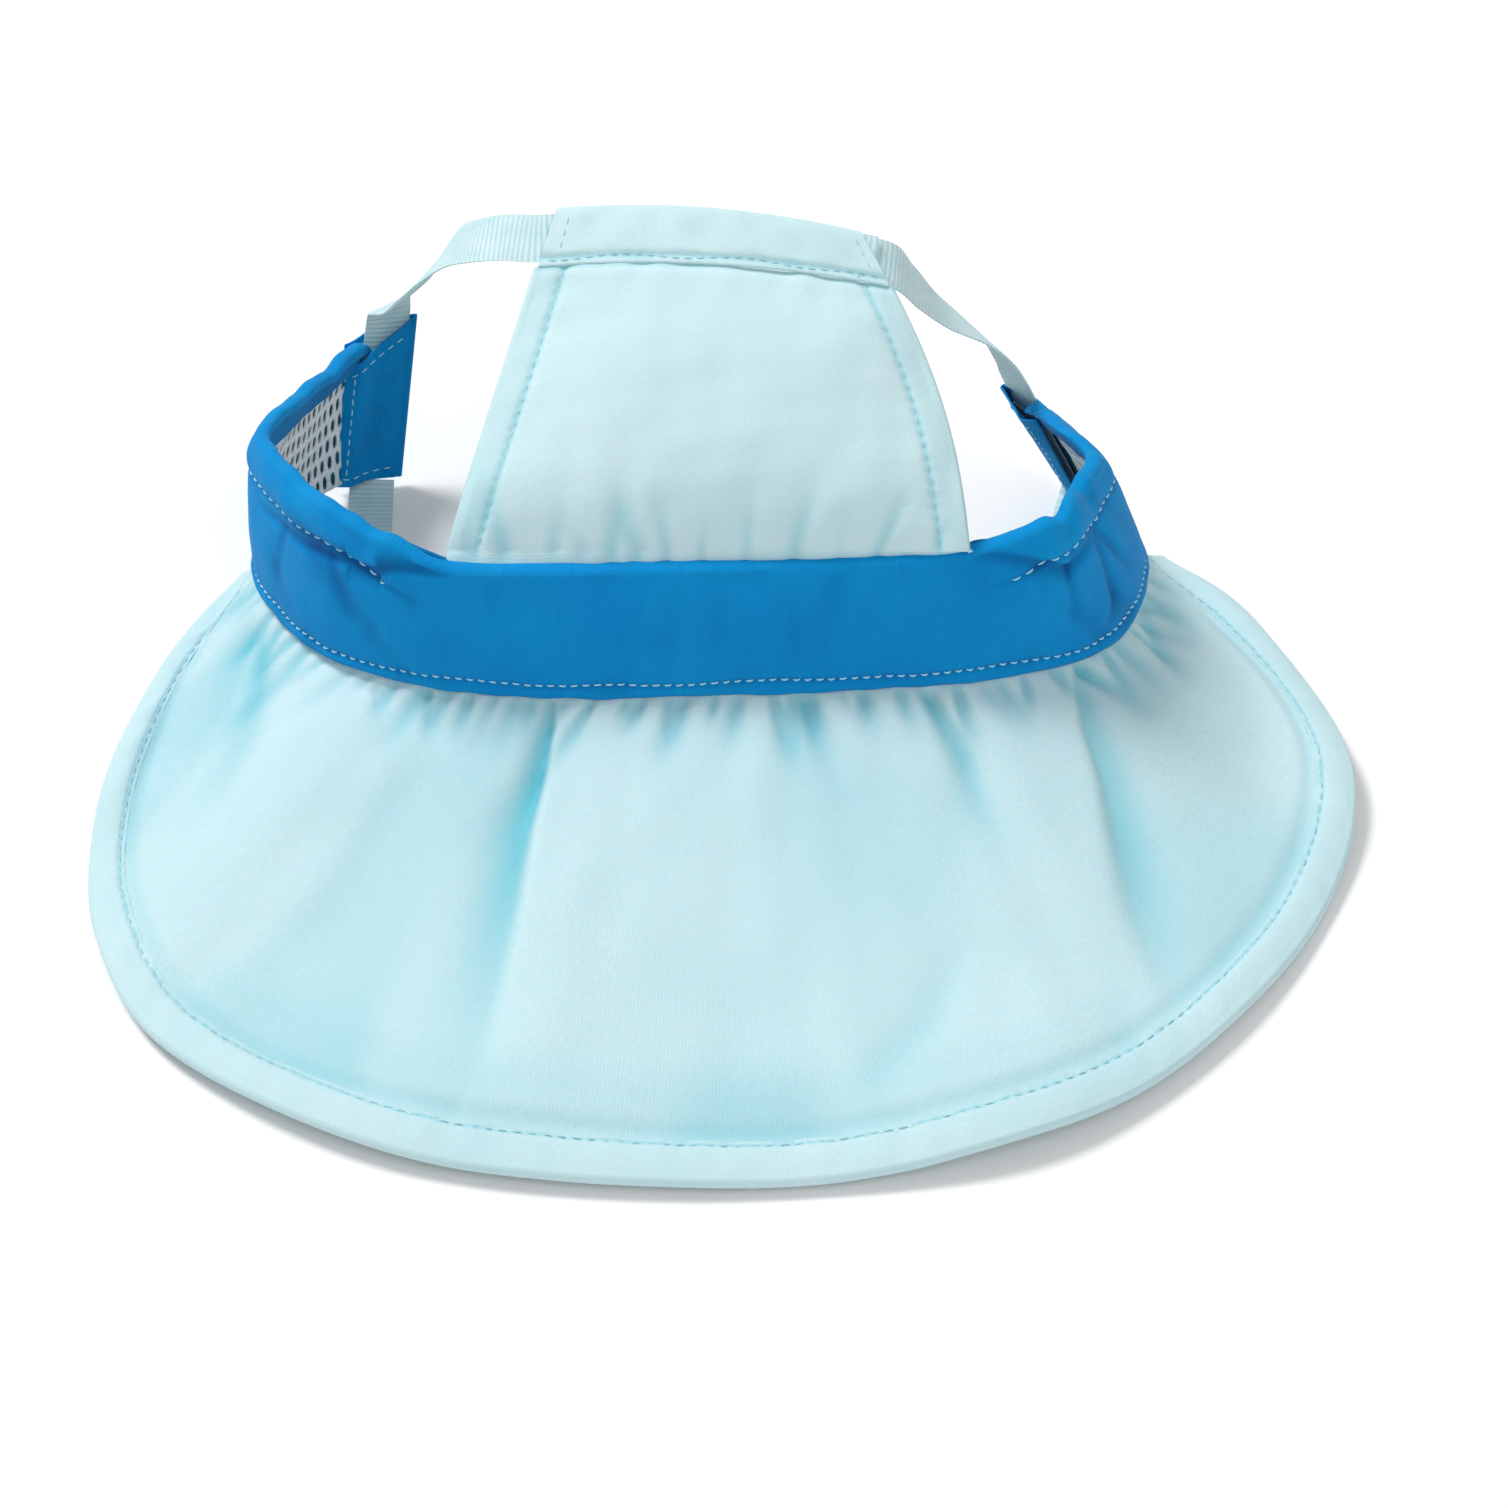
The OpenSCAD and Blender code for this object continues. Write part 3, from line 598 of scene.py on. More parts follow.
def band_relief(u, h, s):
    """How far the outer cloth stands out from its smooth form, how much painted shade it gets in its
    grooves and creases, and the share of the relief that the layers inside follow."""
    height = band_height(u)
    inside = ramp(h, 0, 2) * ramp(height - h, 0.5, 3)
    wing = wing_share(u)
    pull = 0.75 + 0.25 * np.cos(s * math.tau / 2.5)
    groove = bell(h - LOWER_STITCH, 0.7) * pull
    top_groove = bell(height - h - UPPER_STITCH, 0.8) * wing
    puff = 0.5 * bell(h - 1.5, 1.3) + (0.6 + 0.45 * ripple(s, 0 * h, 8, 15)) * bell(height - h - 5, 3) * wing
    corner = bell(u - 4.6, 1.3) + bell(u - 11.6, 1.2)
    slant = ripple(s * 0.9 + h * 0.8, s * 0.1, 11, 4) * corner + 0.5 * ripple(s, h * 0.25, 9, 5)
    soft = 0.4 * ripple(s, h, 26, 6) + 0.32 * slant
    creases = 0
    for crease in BAND_CREASES:
        creases = creases + fold_depth(s, h, crease)
    shared = soft * inside - creases
    relief = -0.55 * groove - 0.5 * top_groove + puff + shared
    # Painted shade in the stitch grooves, the creases and the soft hollows.
    painted_shade = 0.5 * groove + 0.45 * top_groove + 0.55 * creases + 0.35 * np.clip(-slant, 0, 1) * inside
    return relief, np.clip(painted_shade, 0, 1), shared


def band_cloth():
    """The outer cloth: rolled under at the seam, up the face, over the top edge and down inside."""
    u = BAND_U[:, None]
    height = band_height(u)
    face_rows = 84
    rise = np.linspace(0, 1, face_rows)[None, :]
    # Heights and depths of the rows rolled under at the seam, then of those over the top edge.
    low_h = np.array([[1.6, 0.7, 0.1, -0.15, 0.0]])
    low_d = np.array([[-1.5, -1.5, -1.2, -0.7, -0.25]])
    top_h = np.array([[-0.35, -0.05, 0.0, -0.05, -0.5, -1.3, -2.2]])
    top_d = np.array([[-0.3, -0.9, -1.7, -2.6, -3.3, -3.7, -3.8]])
    ones = np.ones_like(u)
    h = np.concatenate([low_h * ones, mix(0.4, height - 0.9, rise), height + top_h], 1)
    d = np.concatenate([low_d * ones, 0 * rise * ones, top_d * ones], 1)
    u2, s2, _ = np.broadcast_arrays(u, BAND_S[:, None], h)
    relief, painted_shade, _ = band_relief(u2, np.clip(h, 0, height), s2)
    first = low_h.shape[1]
    fade = [0.2, 0.5, 0.8, 0.95]
    on_face = np.zeros(h.shape[1])
    on_face[first:first + face_rows] = 1
    on_face[first:first + 4] = fade
    on_face[first + face_rows - 4:first + face_rows] = fade[::-1]
    face = band_point(u2, h, d + relief * on_face)
    wobble = 0.25 * ripple(s2, h, 8, 9) * (1 - on_face)
    face = face + band_outward(u2) * wobble[..., None]
    back = thicken(face, -0.5)
    steps = np.concatenate([np.zeros_like(u), np.abs(np.diff(h, axis=1))], 1)
    weave = np.stack([s2, np.cumsum(steps, 1)], -1)
    piece = slab("headband_outer_cloth", face, back, BLUE, weave, painted_shade * on_face)
    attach(piece, "headband")
    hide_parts("headband_cloth")


def band_layer(name, node, d1, d0, material, inset, low=1.0, top=1.3):
    """An inner layer of the headband, between two depths. A negative low is counted from the top."""
    u = np.linspace(inset, BAND_END - inset, 241)[:, None]
    height = band_height(u)
    bottom = height + low if low < 0 else low
    h = mix(bottom, height - top, np.linspace(0, 1, 22)[None, :])
    u2, _ = np.broadcast_arrays(u, h)
    s2 = np.interp(u2, BAND_U, BAND_S)
    _, _, shared = band_relief(u2, h, s2)
    wave = 0.12 * ripple(s2, h, 14, 12) + shared
    face = band_point(u2, h, d1 + wave)
    back = band_point(u2, h, d0 + wave)
    piece = slab(name, face, back, material, np.stack([s2, h], -1))
    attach(piece, "headband")
    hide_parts(node)


band_cloth()
band_layer("headband_interlining", "headband_stiffening", -0.8, -1.6, TEAL_BACKING_PAINTED_SHADE, 0.1)
band_layer("headband_inner_facing", "headband_facing", -2.6, -3.3, FACING, 0.2,
           low=-9, top=0.6)


def mesh_lining():
    """The knitted mesh inside the headband, with its tall holes cut right through."""
    pitch_s = 2.9
    pitch_h = 4.9
    end_gap = 2
    columns = int((BAND_S[-1] - 2 * end_gap) / pitch_s)
    rows = 8
    hole_half_width = 0.95
    hole_half_height = 2.0
    hole_slant = 0.35
    ring_s = np.array([-1, 0, 1, 1, 1, 0, -1, -1]) / 2
    ring_h = np.array([-1, -1, -1, 0, 1, 1, 1, 0]) / 2
    turn = np.arctan2(ring_h, ring_s)
    places = []
    faces = []
    index = {}

    def corner(s, h):
        key = (round(s * 20), round(h * 20))
        if key not in index:
            index[key] = len(places)
            places.append((s, h))
        return index[key]

    for r in range(rows):
        shift = pitch_s / 2 * (r % 2)
        for c in range(columns - 1):
            s0 = end_gap + shift + (c + 0.5) * pitch_s
            h0 = (r + 0.5) * pitch_h
            outer = [corner(s0 + a * pitch_s, h0 + b * pitch_h) for a, b in zip(ring_s, ring_h)]
            start = len(places)
            for angle in turn:
                hole_s = hole_half_width * math.cos(angle) + hole_slant * math.sin(angle)
                places.append((s0 + hole_s, h0 + hole_half_height * math.sin(angle)))
            for k in range(8):
                n = (k + 1) % 8
                faces.append((outer[k], outer[n], start + n, start + k))
    places = np.array(places)
    u = np.interp(places[:, 0], BAND_S, BAND_U)
    height = band_height(u)
    h = 0.8 + places[:, 1] / (rows * pitch_h) * (height - 2.0)
    _, _, shared = band_relief(u, h, places[:, 0])
    points = band_point(u, h, -2.1 + shared + 0.1 * ripple(places[:, 0], h, 12, 21))
    piece = make_piece("headband_mesh_lining", points, faces, MESH, places)
    solid = piece.modifiers.new("thickness", "SOLIDIFY")
    solid.thickness = 0.5 * MM
    solid.offset = 0
    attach(piece, "headband")
    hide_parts("mesh_lining")


mesh_lining()


def band_stitches(name, node, first, last, height_at, pitch=3.1, length=2.1):
    u = np.linspace(first, last, 400)
    h = height_at(u)
    s = np.interp(u, BAND_U, BAND_S)
    relief, _, _ = band_relief(u, h, s)
    path = band_point(u, h, relief)
    piece = stitches(name, path, band_outward(u), PALE_THREAD, "pale_thread", pitch, length)
    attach(piece, "headband")
    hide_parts(node)


band_stitches("headband_lower_stitches", "band_stitching", 1.2, 14.6, lambda u: LOWER_STITCH + 0 * u,
              pitch=2.5, length=1.8)
for side, first, last in (("left", 0.3, 5.6), ("right", 10.3, 15.7)):
    band_stitches("wing_stitches_" + side, "wing_stitching_" + side, first, last,
                  lambda u: band_height(u) - UPPER_STITCH)

# ---- Brim ----

SEAM_DROP = 2.3
TABLE_CLEARANCE = 0.8
TOP_HIGH = 2.0


def seam_point(u):
    """Where the brim is sewn on, just inside and below the headband's lower edge."""
    return smooth(LOWER_EDGE, u) - band_outward(u) - np.array([0, 0, SEAM_DROP])


def outer_point(u):
    p = smooth(OUTER_EDGE, u - FIRST_BRIM)
    return np.concatenate([p, np.full(p.shape[:-1] + (1,), TABLE_CLEARANCE)], -1)


def brim_width(u):
    return np.linalg.norm((outer_point(u) - seam_point(u))[..., :2], axis=-1)


# Each fold as rows of x, y, depth, then its width on the side of smaller and of larger x.
FOLDS = [
    [(-32, 0, 2.2, 1.5, 1), (-32, -5, 3.2, 2.5, 1), (-34, -16, 3.8, 4, 1.2), (-37, -28, 3.6, 7, 1.8),
     (-40, -46, 2.8, 10, 2.5), (-43, -64, 1.8, 13, 3), (-47, -86, 0.6, 14, 4)],
    [(-95, 29, 1.6, 2, 2), (-96, 14, 2.2, 3, 4), (-98, 3, 1.9, 5, 6), (-101, -6, 1.4, 6, 6),
     (-105, -14, 0.8, 7, 7), (-110, -24, 0.2, 8, 7)],
    [(-98, 32, 1.2, 3, 2), (-105, 12, 1.1, 6, 5), (-114, 3, 0.4, 6, 6)],
    [(-58, 4, 1.4, 1, 1.2), (-57, -4, 1.2, 2, 2), (-56, -9, 0.3, 3, 3)],
    [(-69, 6, 1.2, 1.2, 1.2), (-67, -1, 0.5, 2, 2)],
    [(79, 12, 1.8, 1, 2), (81, 0, 2.5, 1.5, 5), (85, -12, 2.6, 2, 7), (88, -27, 2.3, 3, 8),
     (91, -42, 1.7, 4, 8), (95, -55, 1, 4, 7), (99, -65, 0.3, 4, 6)],
    [(48, 3, 2, 1.2, 1.5), (52, -4, 2.4, 3, 1.5), (55, -10, 2.4, 4, 1.8), (58, -19, 1.5, 6, 2.5),
     (62, -29, 0.4, 8, 4)],
    [(21, 2, 1.4, 1.2, 1.4), (24, -8, 1.2, 2, 3), (29, -19, 0.4, 4, 5)],
    [(33, 3, 1.4, 1, 1.2), (34, -3, 0.6, 2, 2)],
    [(94, 36, 1.8, 1.5, 2), (97, 27, 1.8, 2, 3), (102, 18, 0.7, 3, 4)],
    [(80, 14, 1.2, 1.2, 1.2), (86, 11, 0.5, 2, 2)],
    [(55, -48, 0.2, 6, 6), (51, -58, 0.9, 6, 5), (45, -72, 1.3, 6, 5), (36, -82, 1, 6, 5),
     (33, -90, 0.3, 6, 6)],
    [(86, -60, 0.3, 5, 4), (87, -74, 0.7, 5, 4), (86, -80, 0.2, 5, 4)],
]


BRIM_U = np.linspace(FIRST_BRIM, LAST_BRIM, 561)
BRIM_S = along(seam_point(BRIM_U))


def gathers(s, out):
    """Small puckers where the brim is gathered into the headband's seam."""
    rng = np.random.default_rng(31)
    total = np.zeros(np.broadcast(s, out).shape)
    at = 2.0
    while at < BRIM_S[-1] - 2:
        depth = rng.uniform(0.6, 1.7)
        width = rng.uniform(0.8, 1.8)
        reach = rng.uniform(4, 14)
        slant = rng.uniform(-0.3, 0.3)
        total = total + depth * bell(s - at - slant * out, width + 0.12 * out) * bell(out, reach)
        at += rng.uniform(3, 7.5)
    return total


def brim_fall(t):
    """Share of the drop from seam to edge that is still left at t."""
    return 1 - 1.3 * t + 0.3 * t * t


def brim_relief(u, t):
    """How far the brim's layers are lifted at u, t, and how much painted shade they get in folds and
    hollows.
    """
    seam = seam_point(u)
    edge = outer_point(u)
    width = brim_width(u)
    x = mix(seam[..., 0], edge[..., 0], t)
    y = mix(seam[..., 1], edge[..., 1], t)
    s = np.interp(u, BRIM_U, BRIM_S)
    folds = 0
    for fold in FOLDS:
        folds = folds + fold_depth(x, y, fold)
    small = gathers(s, t * width) * ramp(t * width, -2, 2)
    swell = 1.9 * ripple(s, t * 30, 38, 41) * ramp(t, 0.02, 0.3)
    fine = 0.35 * ripple(s, t * width * 0.35, 13, 43) * ramp(t, 0.0, 0.12)
    quiet = 1 - 0.75 * ramp((1 - t) * width, 14, 4)
    edge_wave = ramp(t, 0.55, 1) * (2.8 + 1.2 * np.sin(u * 2.1 + 0.6) + 0.6 * np.sin(u * 4.7 + 2))
    hem_dip = 0.7 * bell((1 - t) * width - 10.5, 2.2) * ramp(width, 20, 30)
    lift = (swell + fine - folds - small) * quiet + edge_wave - hem_dip
    base = mix(edge[..., 2], seam[..., 2], brim_fall(t))
    lift = np.maximum(lift, -base + 0.3)
    # Painted shade in the folds, the gathers, the dip inside the hem and the low swells, and a broad patch
    # of it in front, about 17 mm in from the edge.
    painted_shade = 0.8 * np.clip(folds / 3.4, 0, 1) ** 1.3 + np.clip(small / 2, 0, 0.5) + 0.25 * hem_dip
    painted_shade = painted_shade + 0.2 * np.clip(-swell, 0, 1) + 0.18 * bell((1 - t) * width - 17, 9) * bell(u - 8, 2.2)
    return lift, np.clip(painted_shade, 0, 1)


def brim_point(u, t, height):
    """A point on the brim: t from its seam to its edge, height above its smooth underside."""
    seam = seam_point(u)
    edge = outer_point(u)
    point = mix(seam, edge, t[..., None])
    point[..., 2] = mix(edge[..., 2], seam[..., 2], brim_fall(t)) + height
    return point


def tucked(face, back, weave, painted_shade, u):
    """The sheet with one more row, which stands up behind the headband's lower edge."""
    outward = band_outward(u)
    top = face[:, :1] + np.array([0, 0, 2.4])
    return (np.concatenate([top + 0.25 * outward, face], 1), np.concatenate([top - 0.25 * outward, back], 1),
            np.concatenate([weave[:, :1] - [0, 2.4], weave], 1), np.concatenate([painted_shade[:, :1], painted_shade], 1))


def brim_sheet(name, nodes, low, high, rows, columns, material, end=1.0, tucks=False):
    """One of the brim's cloths, between two heights, which stops short of the edge by end."""
    u = np.linspace(FIRST_BRIM, LAST_BRIM, columns)[:, None]
    t = np.linspace(0, 1, rows)[None, :] * (1 - end / brim_width(u))
    u2, _ = np.broadcast_arrays(u, t)
    lift, painted_shade = brim_relief(u2, t)
    face = brim_point(u2, t, high + lift)
    back = brim_point(u2, t, low + lift)
    s = np.interp(u2, BRIM_U, BRIM_S)
    weave = np.stack([s, t * brim_width(u2)], -1)
    if tucks:
        face, back, weave, painted_shade = tucked(face, back, weave, painted_shade, u)
    piece = slab(name, face, back, material, weave, painted_shade)
    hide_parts(*nodes)
    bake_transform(piece)


brim_sheet("brim_upper_cloth", ["brim_root_top_cloth", "brim_top_cloth"], 1.5, TOP_HIGH, 110, 521,
           AQUA, tucks=True)
brim_sheet("brim_interlining", ["brim_root_stiffening", "brim_stiffening_layer"], 0.7, 1.2, 110, 521,
           STIFFENING, end=1.6)
brim_sheet("brim_lower_cloth", ["brim_root_under_cloth", "brim_under_cloth"], 0.0, 0.5, 80, 361,
           LINING)

BINDING_WIDTH = 9
HEM_STITCH = 7.6
HEM_MIDDLE = TOP_HIGH / 2
HEM_HALF = HEM_MIDDLE + 0.45


def lip_width(u):
    return np.minimum(BINDING_WIDTH, 0.7 * brim_width(u))


def hem_surface(u, e, height):
    """A point on the brim e millimetres in from its edge."""
    width = brim_width(u)
    t = 1 - e / width
    lift, _ = brim_relief(u, np.clip(t, 0, 1))
    return brim_point(u, t, height + lift)


def brim_binding():
    """The cloth folded over the edge: its upper lip, the rounded edge and the lip below."""
    u = np.linspace(FIRST_BRIM + 0.05, LAST_BRIM - 0.05, 521)[:, None]
    lip = lip_width(u)
    inward = np.linspace(1, 0, 16)[None, :-1]
    turn = np.linspace(0, np.pi, 9)[None, :]
    e = np.concatenate([inward * lip, 0 * u - np.sin(turn), inward[:, ::-1] * lip], 1)
    tops = np.concatenate([0 * inward + HEM_MIDDLE + HEM_HALF, HEM_MIDDLE + HEM_HALF * np.cos(turn),
                           0 * inward + HEM_MIDDLE - HEM_HALF], 1)
    u2, tops, _ = np.broadcast_arrays(u, tops, e)
    along_edge = np.interp(u2, BRIM_U, along(outer_point(BRIM_U)))
    from_stitch = np.abs(e - HEM_STITCH * lip / BINDING_WIDTH)
    pull = 0.7 + 0.3 * np.cos(along_edge * math.tau / 3)
    upper = tops > HEM_MIDDLE
    swell = 0.35 * np.sin(np.pi * np.clip(e / lip / 0.84, 0, 1)) + 0.2 * ripple(along_edge, e * 0.6, 9, 51)
    dent = -0.45 * bell(from_stitch, 0.6) * pull - 0.38 * bell(e - lip, 1.3)
    lipped = np.where(upper & (e > 0), swell * ramp(e, 0, 1.5) + dent, 0)
    face = hem_surface(u2, e, tops + lipped)
    face[..., 2] = np.maximum(face[..., 2], 0.05)
    back = thicken(face, 0.4)
    weave = np.stack([along_edge, np.cumsum(np.abs(np.gradient(e, axis=1)), 1)], -1)
    # Painted shade along the hem's stitch groove and at the upper lip's inner edge.
    painted_shade = np.where(upper, 0.75 * bell(from_stitch, 0.5) * pull + 0.25 * bell(e - lip, 0.5), 0)
    piece = slab("brim_edge_binding", face, back, AQUA, weave, painted_shade)
    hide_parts("brim_root_binding_left", "brim_root_binding_right", "brim_binding")
    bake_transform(piece)


def hem_stitches():
    u = np.linspace(FIRST_BRIM + 0.4, LAST_BRIM - 0.4, 900)
    e = HEM_STITCH * lip_width(u) / BINDING_WIDTH
    path = hem_surface(u, e, HEM_MIDDLE + HEM_HALF - 0.3)
    up = unit(np.array([0, -0.15, 1]))
    row = stitches("brim_hem_stitches", path, up, AQUA_THREAD, "aqua_thread", pitch=3.0, length=2.0,
                   radius=0.16)
    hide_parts("brim_hem_stitching")
    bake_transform(row)


brim_binding()
hem_stitches()

# ---- Crown ----

CROWN_ORIGIN = np.array([0, 11.2, 60.6])
CROWN_LEAN = math.radians(35)
CROWN_LENGTH = 73
CASING_WIDTH = 12
CROWN_BODY = 1 - (CASING_WIDTH + 0.3) / CROWN_LENGTH
CASING_MIDDLE = 1 - CASING_WIDTH / 2 / CROWN_LENGTH
CROWN_UP = np.array([0, -math.sin(CROWN_LEAN), math.cos(CROWN_LEAN)])
CROWN_BACK = np.array([0, math.cos(CROWN_LEAN), math.sin(CROWN_LEAN)])
SIDE_HEM = 5.6
FRONT_HALF = 54
REAR_HALF = 32
CROWN_ROW = dict(pitch=2.6, length=1.8, radius=0.14)


def crown_x(a, b):
    """a runs from -1 to 1 across the crown, and b from 0 at its front to 1 at its rear."""
    left = mix(-53, -30.5, b)
    right = mix(55, 33, b) + 4.5 * np.sin(np.pi * np.clip(b, 0, 1))
    return mix(left, right, (a + 1) / 2)


def crown_point(a, b, height):
    """A point on the arched crown, sunk in front where the headband holds it."""
    sink = (4.2 + 1.2 * (1 - a * a)) * np.clip(1 - b / 0.24, 0, 1) ** 2
    rise = 5 * (1 - a * a) * np.sin(np.radians(150 * b + 15)) + height - sink
    run = b * (CROWN_LENGTH - 2.5 * a - 2.3 * a * a)
    point = CROWN_ORIGIN + CROWN_BACK * run[..., None] + CROWN_UP * rise[..., None]
    point[..., 0] += crown_x(a, b)
    return point


def wadding_high(a, b):
    return 1.3 + 2.4 * (1 - a ** 4) * np.sin(np.pi * np.clip(b / CROWN_BODY, 0, 1))


def half_width(b):
    return mix(FRONT_HALF, REAR_HALF, b)


def crown_relief(a, b):
    """Puckers, stitched side hems and soft unevenness of the crown's top cloth, and its painted shade."""
    half = half_width(b)
    x = a * half
    y = b * CROWN_LENGTH
    rng = np.random.default_rng(61)
    puckers = 0
    at = -50.0
    while at < 52:
        depth = rng.uniform(0.3, 1.1)
        reach = rng.uniform(4, 12)
        width = rng.uniform(0.9, 2.0)
        slant = rng.uniform(-0.4, 0.4)
        puckers = puckers + depth * bell(x - at - slant * y, width + 0.1 * y) * bell(y, reach)
        at += rng.uniform(5, 12)
    from_stitch = (1 - np.abs(a)) * half - SIDE_HEM
    to_casing = CROWN_BODY * CROWN_LENGTH - y
    hem = -0.6 * bell(from_stitch, 0.9) * (0.8 + 0.2 * np.cos(y * math.tau / 2.6))
    tug = 0.25 * ripple(y, from_stitch * 0.3, 6, 62) * bell(from_stitch - 2, 4)
    seam = -0.8 * bell(to_casing, 1.3)
    ruck = 0.4 * ripple(x, y * 0.3, 8, 64) * bell(to_casing, 6)
    soft = 0.5 * ripple(x, y, 30, 63) + 0.15 * ripple(x, y, 11, 65)
    relief = hem + tug + seam + ruck + soft - puckers
    # Painted shade in the stitch grooves, at the casing seam and in the puckers, and a slightly deeper tint
    # over the side hems outside their stitches.
    painted_shade = 0.4 * bell(from_stitch, 0.7) + 0.4 * bell(to_casing, 0.8) + 0.45 * np.clip(puckers, 0, 1)
    painted_shade = painted_shade + 0.14 * ramp(-from_stitch, -0.3, 0.3)
    return relief, np.clip(painted_shade, 0, 1)


def crown_top(a, b):
    return wadding_high(a, b) + 0.7


def crown_tuck(x):
    """Where the crown's cloth is caught inside the headband's rolled upper edge."""
    u = np.interp(x, [p[0] for p in UPPER_EDGE[5:12]], np.arange(5, 12))
    return band_point(u, band_height(u) - 2.0, np.full(np.shape(u), -2.6))


def crown_upper():
    """The top cloth: tucked into the headband in front, and rolled under along both sides."""
    rows = 110
    tucks = 7
    b = np.concatenate([np.full(tucks, 0.02), np.linspace(0.02, CROWN_BODY, rows)])[:, None]
    tuck = np.concatenate([np.linspace(1, 0.08, tucks), np.zeros(rows)])[:, None]
    across = np.linspace(-1, 1, 161)
    flat = np.sign(across) * (1 - (1 - np.abs(across)) ** 1.15)
    roll = np.linspace(np.pi / 2, np.pi / 12, 6)
    a = np.concatenate([-np.ones(len(roll)), flat, np.ones(len(roll))])[None, :]
    out = np.concatenate([np.sin(roll), 0 * flat, np.sin(roll)[::-1]])[None, :]
    turned = np.concatenate([1 - np.cos(roll), 0 * flat, 1 - np.cos(roll)[::-1]])[None, :]
    a2, b2 = np.broadcast_arrays(a, b)
    relief, painted_shade = crown_relief(a2, b2)
    edge = ramp(1 - np.abs(a2), 0, 0.03)
    height = (crown_top(a2, b2) + relief * (0.3 + 0.7 * edge)) * (1 - 0.9 * turned)
    face = crown_point(a2, b2, height)
    face[..., 0] += np.sign(a2) * 0.9 * out
    caught = crown_tuck(face[..., 0])
    face = mix(face, caught, (tuck ** 1.3)[..., None])
    face[..., 2] += 0.35 * np.sin(np.pi * tuck) * ripple(a2 * FRONT_HALF, 0 * a2, 7, 66)
    back = thicken(face, 0.5)
    weave = np.stack([a2 * half_width(b2), (b2 - 0.04 * tuck) * CROWN_LENGTH], -1)
    # Painted shade over the rows tucked under the headband's upper edge.
    painted_shade = painted_shade * (1 - tuck) + 0.45 * tuck
    top = slab("crown_upper_cloth", face, back, CROWN_AQUA_PAINTED_LIGHT, weave, painted_shade)
    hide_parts("crown_top_cloth")
    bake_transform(top)


def crown_inside():
    """The wadding and the lining, which stay inside the top cloth's edges."""
    a = np.linspace(-0.985, 0.985, 61)[None, :]
    b = np.linspace(0.08, CROWN_BODY - 0.01, 50)[:, None]
    a2, b2 = np.broadcast_arrays(a, b)
    weave = np.stack([a2 * half_width(b2), b2 * CROWN_LENGTH], -1)
    lining = slab("crown_inner_cloth", crown_point(a2, b2, 0.6 + 0 * a2), crown_point(a2, b2, 0 * a2),
                  LINING, weave)
    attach(lining, "crown")
    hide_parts("crown_lining")

    a2 = a2 * 0.985
    relief, _ = crown_relief(a2, b2)
    face = crown_point(a2, b2, np.maximum(wadding_high(a2, b2) + relief - 0.2, 0.9))
    pad = slab("crown_wadding_pad", face, crown_point(a2, b2, 0.7 + 0 * a2), WADDING, weave)
    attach(pad, "crown")
    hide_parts("crown_wadding")


def crown_stitches(name, node, side):
    b = np.linspace(0.03, CROWN_BODY, 200)
    a = side * (1 - SIDE_HEM / half_width(b))
    relief, _ = crown_relief(a, b)
    path = crown_point(a, b, crown_top(a, b) + relief)
    piece = stitches(name, path, CROWN_UP, AQUA_THREAD, "aqua_thread", **CROWN_ROW)
    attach(piece, "crown")
    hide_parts(node)


crown_upper()
crown_inside()
crown_stitches("crown_stitches_left", "crown_stitching_left", -1)
crown_stitches("crown_stitches_right", "crown_stitching_right", 1)

# Height of the ribbon in the casing, and how far in from the casing's front edge its seam is.
CASING_HIGH = 1.25
CASING_SEAM = 1.6


def casing_top(a, b):
    """Height of the casing's upper layer: pressed down at its seam and loose over the ribbon."""
    from_seam = (b - CROWN_BODY) * CROWN_LENGTH - CASING_SEAM
    x = a * REAR_HALF
    crumple = 0.3 * ripple(x, from_seam * 0.6, 8, 72) * ramp(from_seam, 0.5, 3)
    return 2.55 - 0.7 * bell(from_seam, 0.9) + crumple


def crown_casing():
    """The folded channel across the rear edge: one cloth loop, open at both sides."""
    a = np.linspace(-1, 1, 181)[:, None]
    turn = np.linspace(0, math.tau, 81)[None, :]
    shape_b = np.sign(np.cos(turn)) * np.abs(np.cos(turn)) ** 0.55
    shape_h = np.sign(np.sin(turn)) * np.abs(np.sin(turn)) ** 0.6
    a2, _ = np.broadcast_arrays(a, turn)

    def layer(inset):
        half_b = (CASING_WIDTH + 0.6) / 2 - inset
        b2 = CASING_MIDDLE + half_b * shape_b / CROWN_LENGTH + 0 * a
        above = (casing_top(a2, b2) - CASING_HIGH - inset) * np.maximum(shape_h, 0)
        below = (CASING_HIGH - inset) * np.minimum(shape_h, 0)
        return crown_point(a2, b2, CASING_HIGH + above + below), b2

    face, b2 = layer(0)
    inner, _ = layer(0.45)
    x = a2 * REAR_HALF
    weave = np.stack([x, (b2 - CROWN_BODY) * CROWN_LENGTH], -1)
    # Painted shade at the casing's seam and in hollows of its crumpled top.
    seam = bell((b2 - CROWN_BODY) * CROWN_LENGTH - CASING_SEAM, 0.8)
    painted_shade = (0.35 * seam + 0.12 * np.clip(-ripple(x, b2 * 40, 8, 72), 0, 1)) * (shape_h > 0)
    piece = slab("crown_ribbon_casing", face, inner, CROWN_AQUA_PAINTED_LIGHT, weave, painted_shade)
    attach(piece, "crown")
    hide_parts("crown_casing")


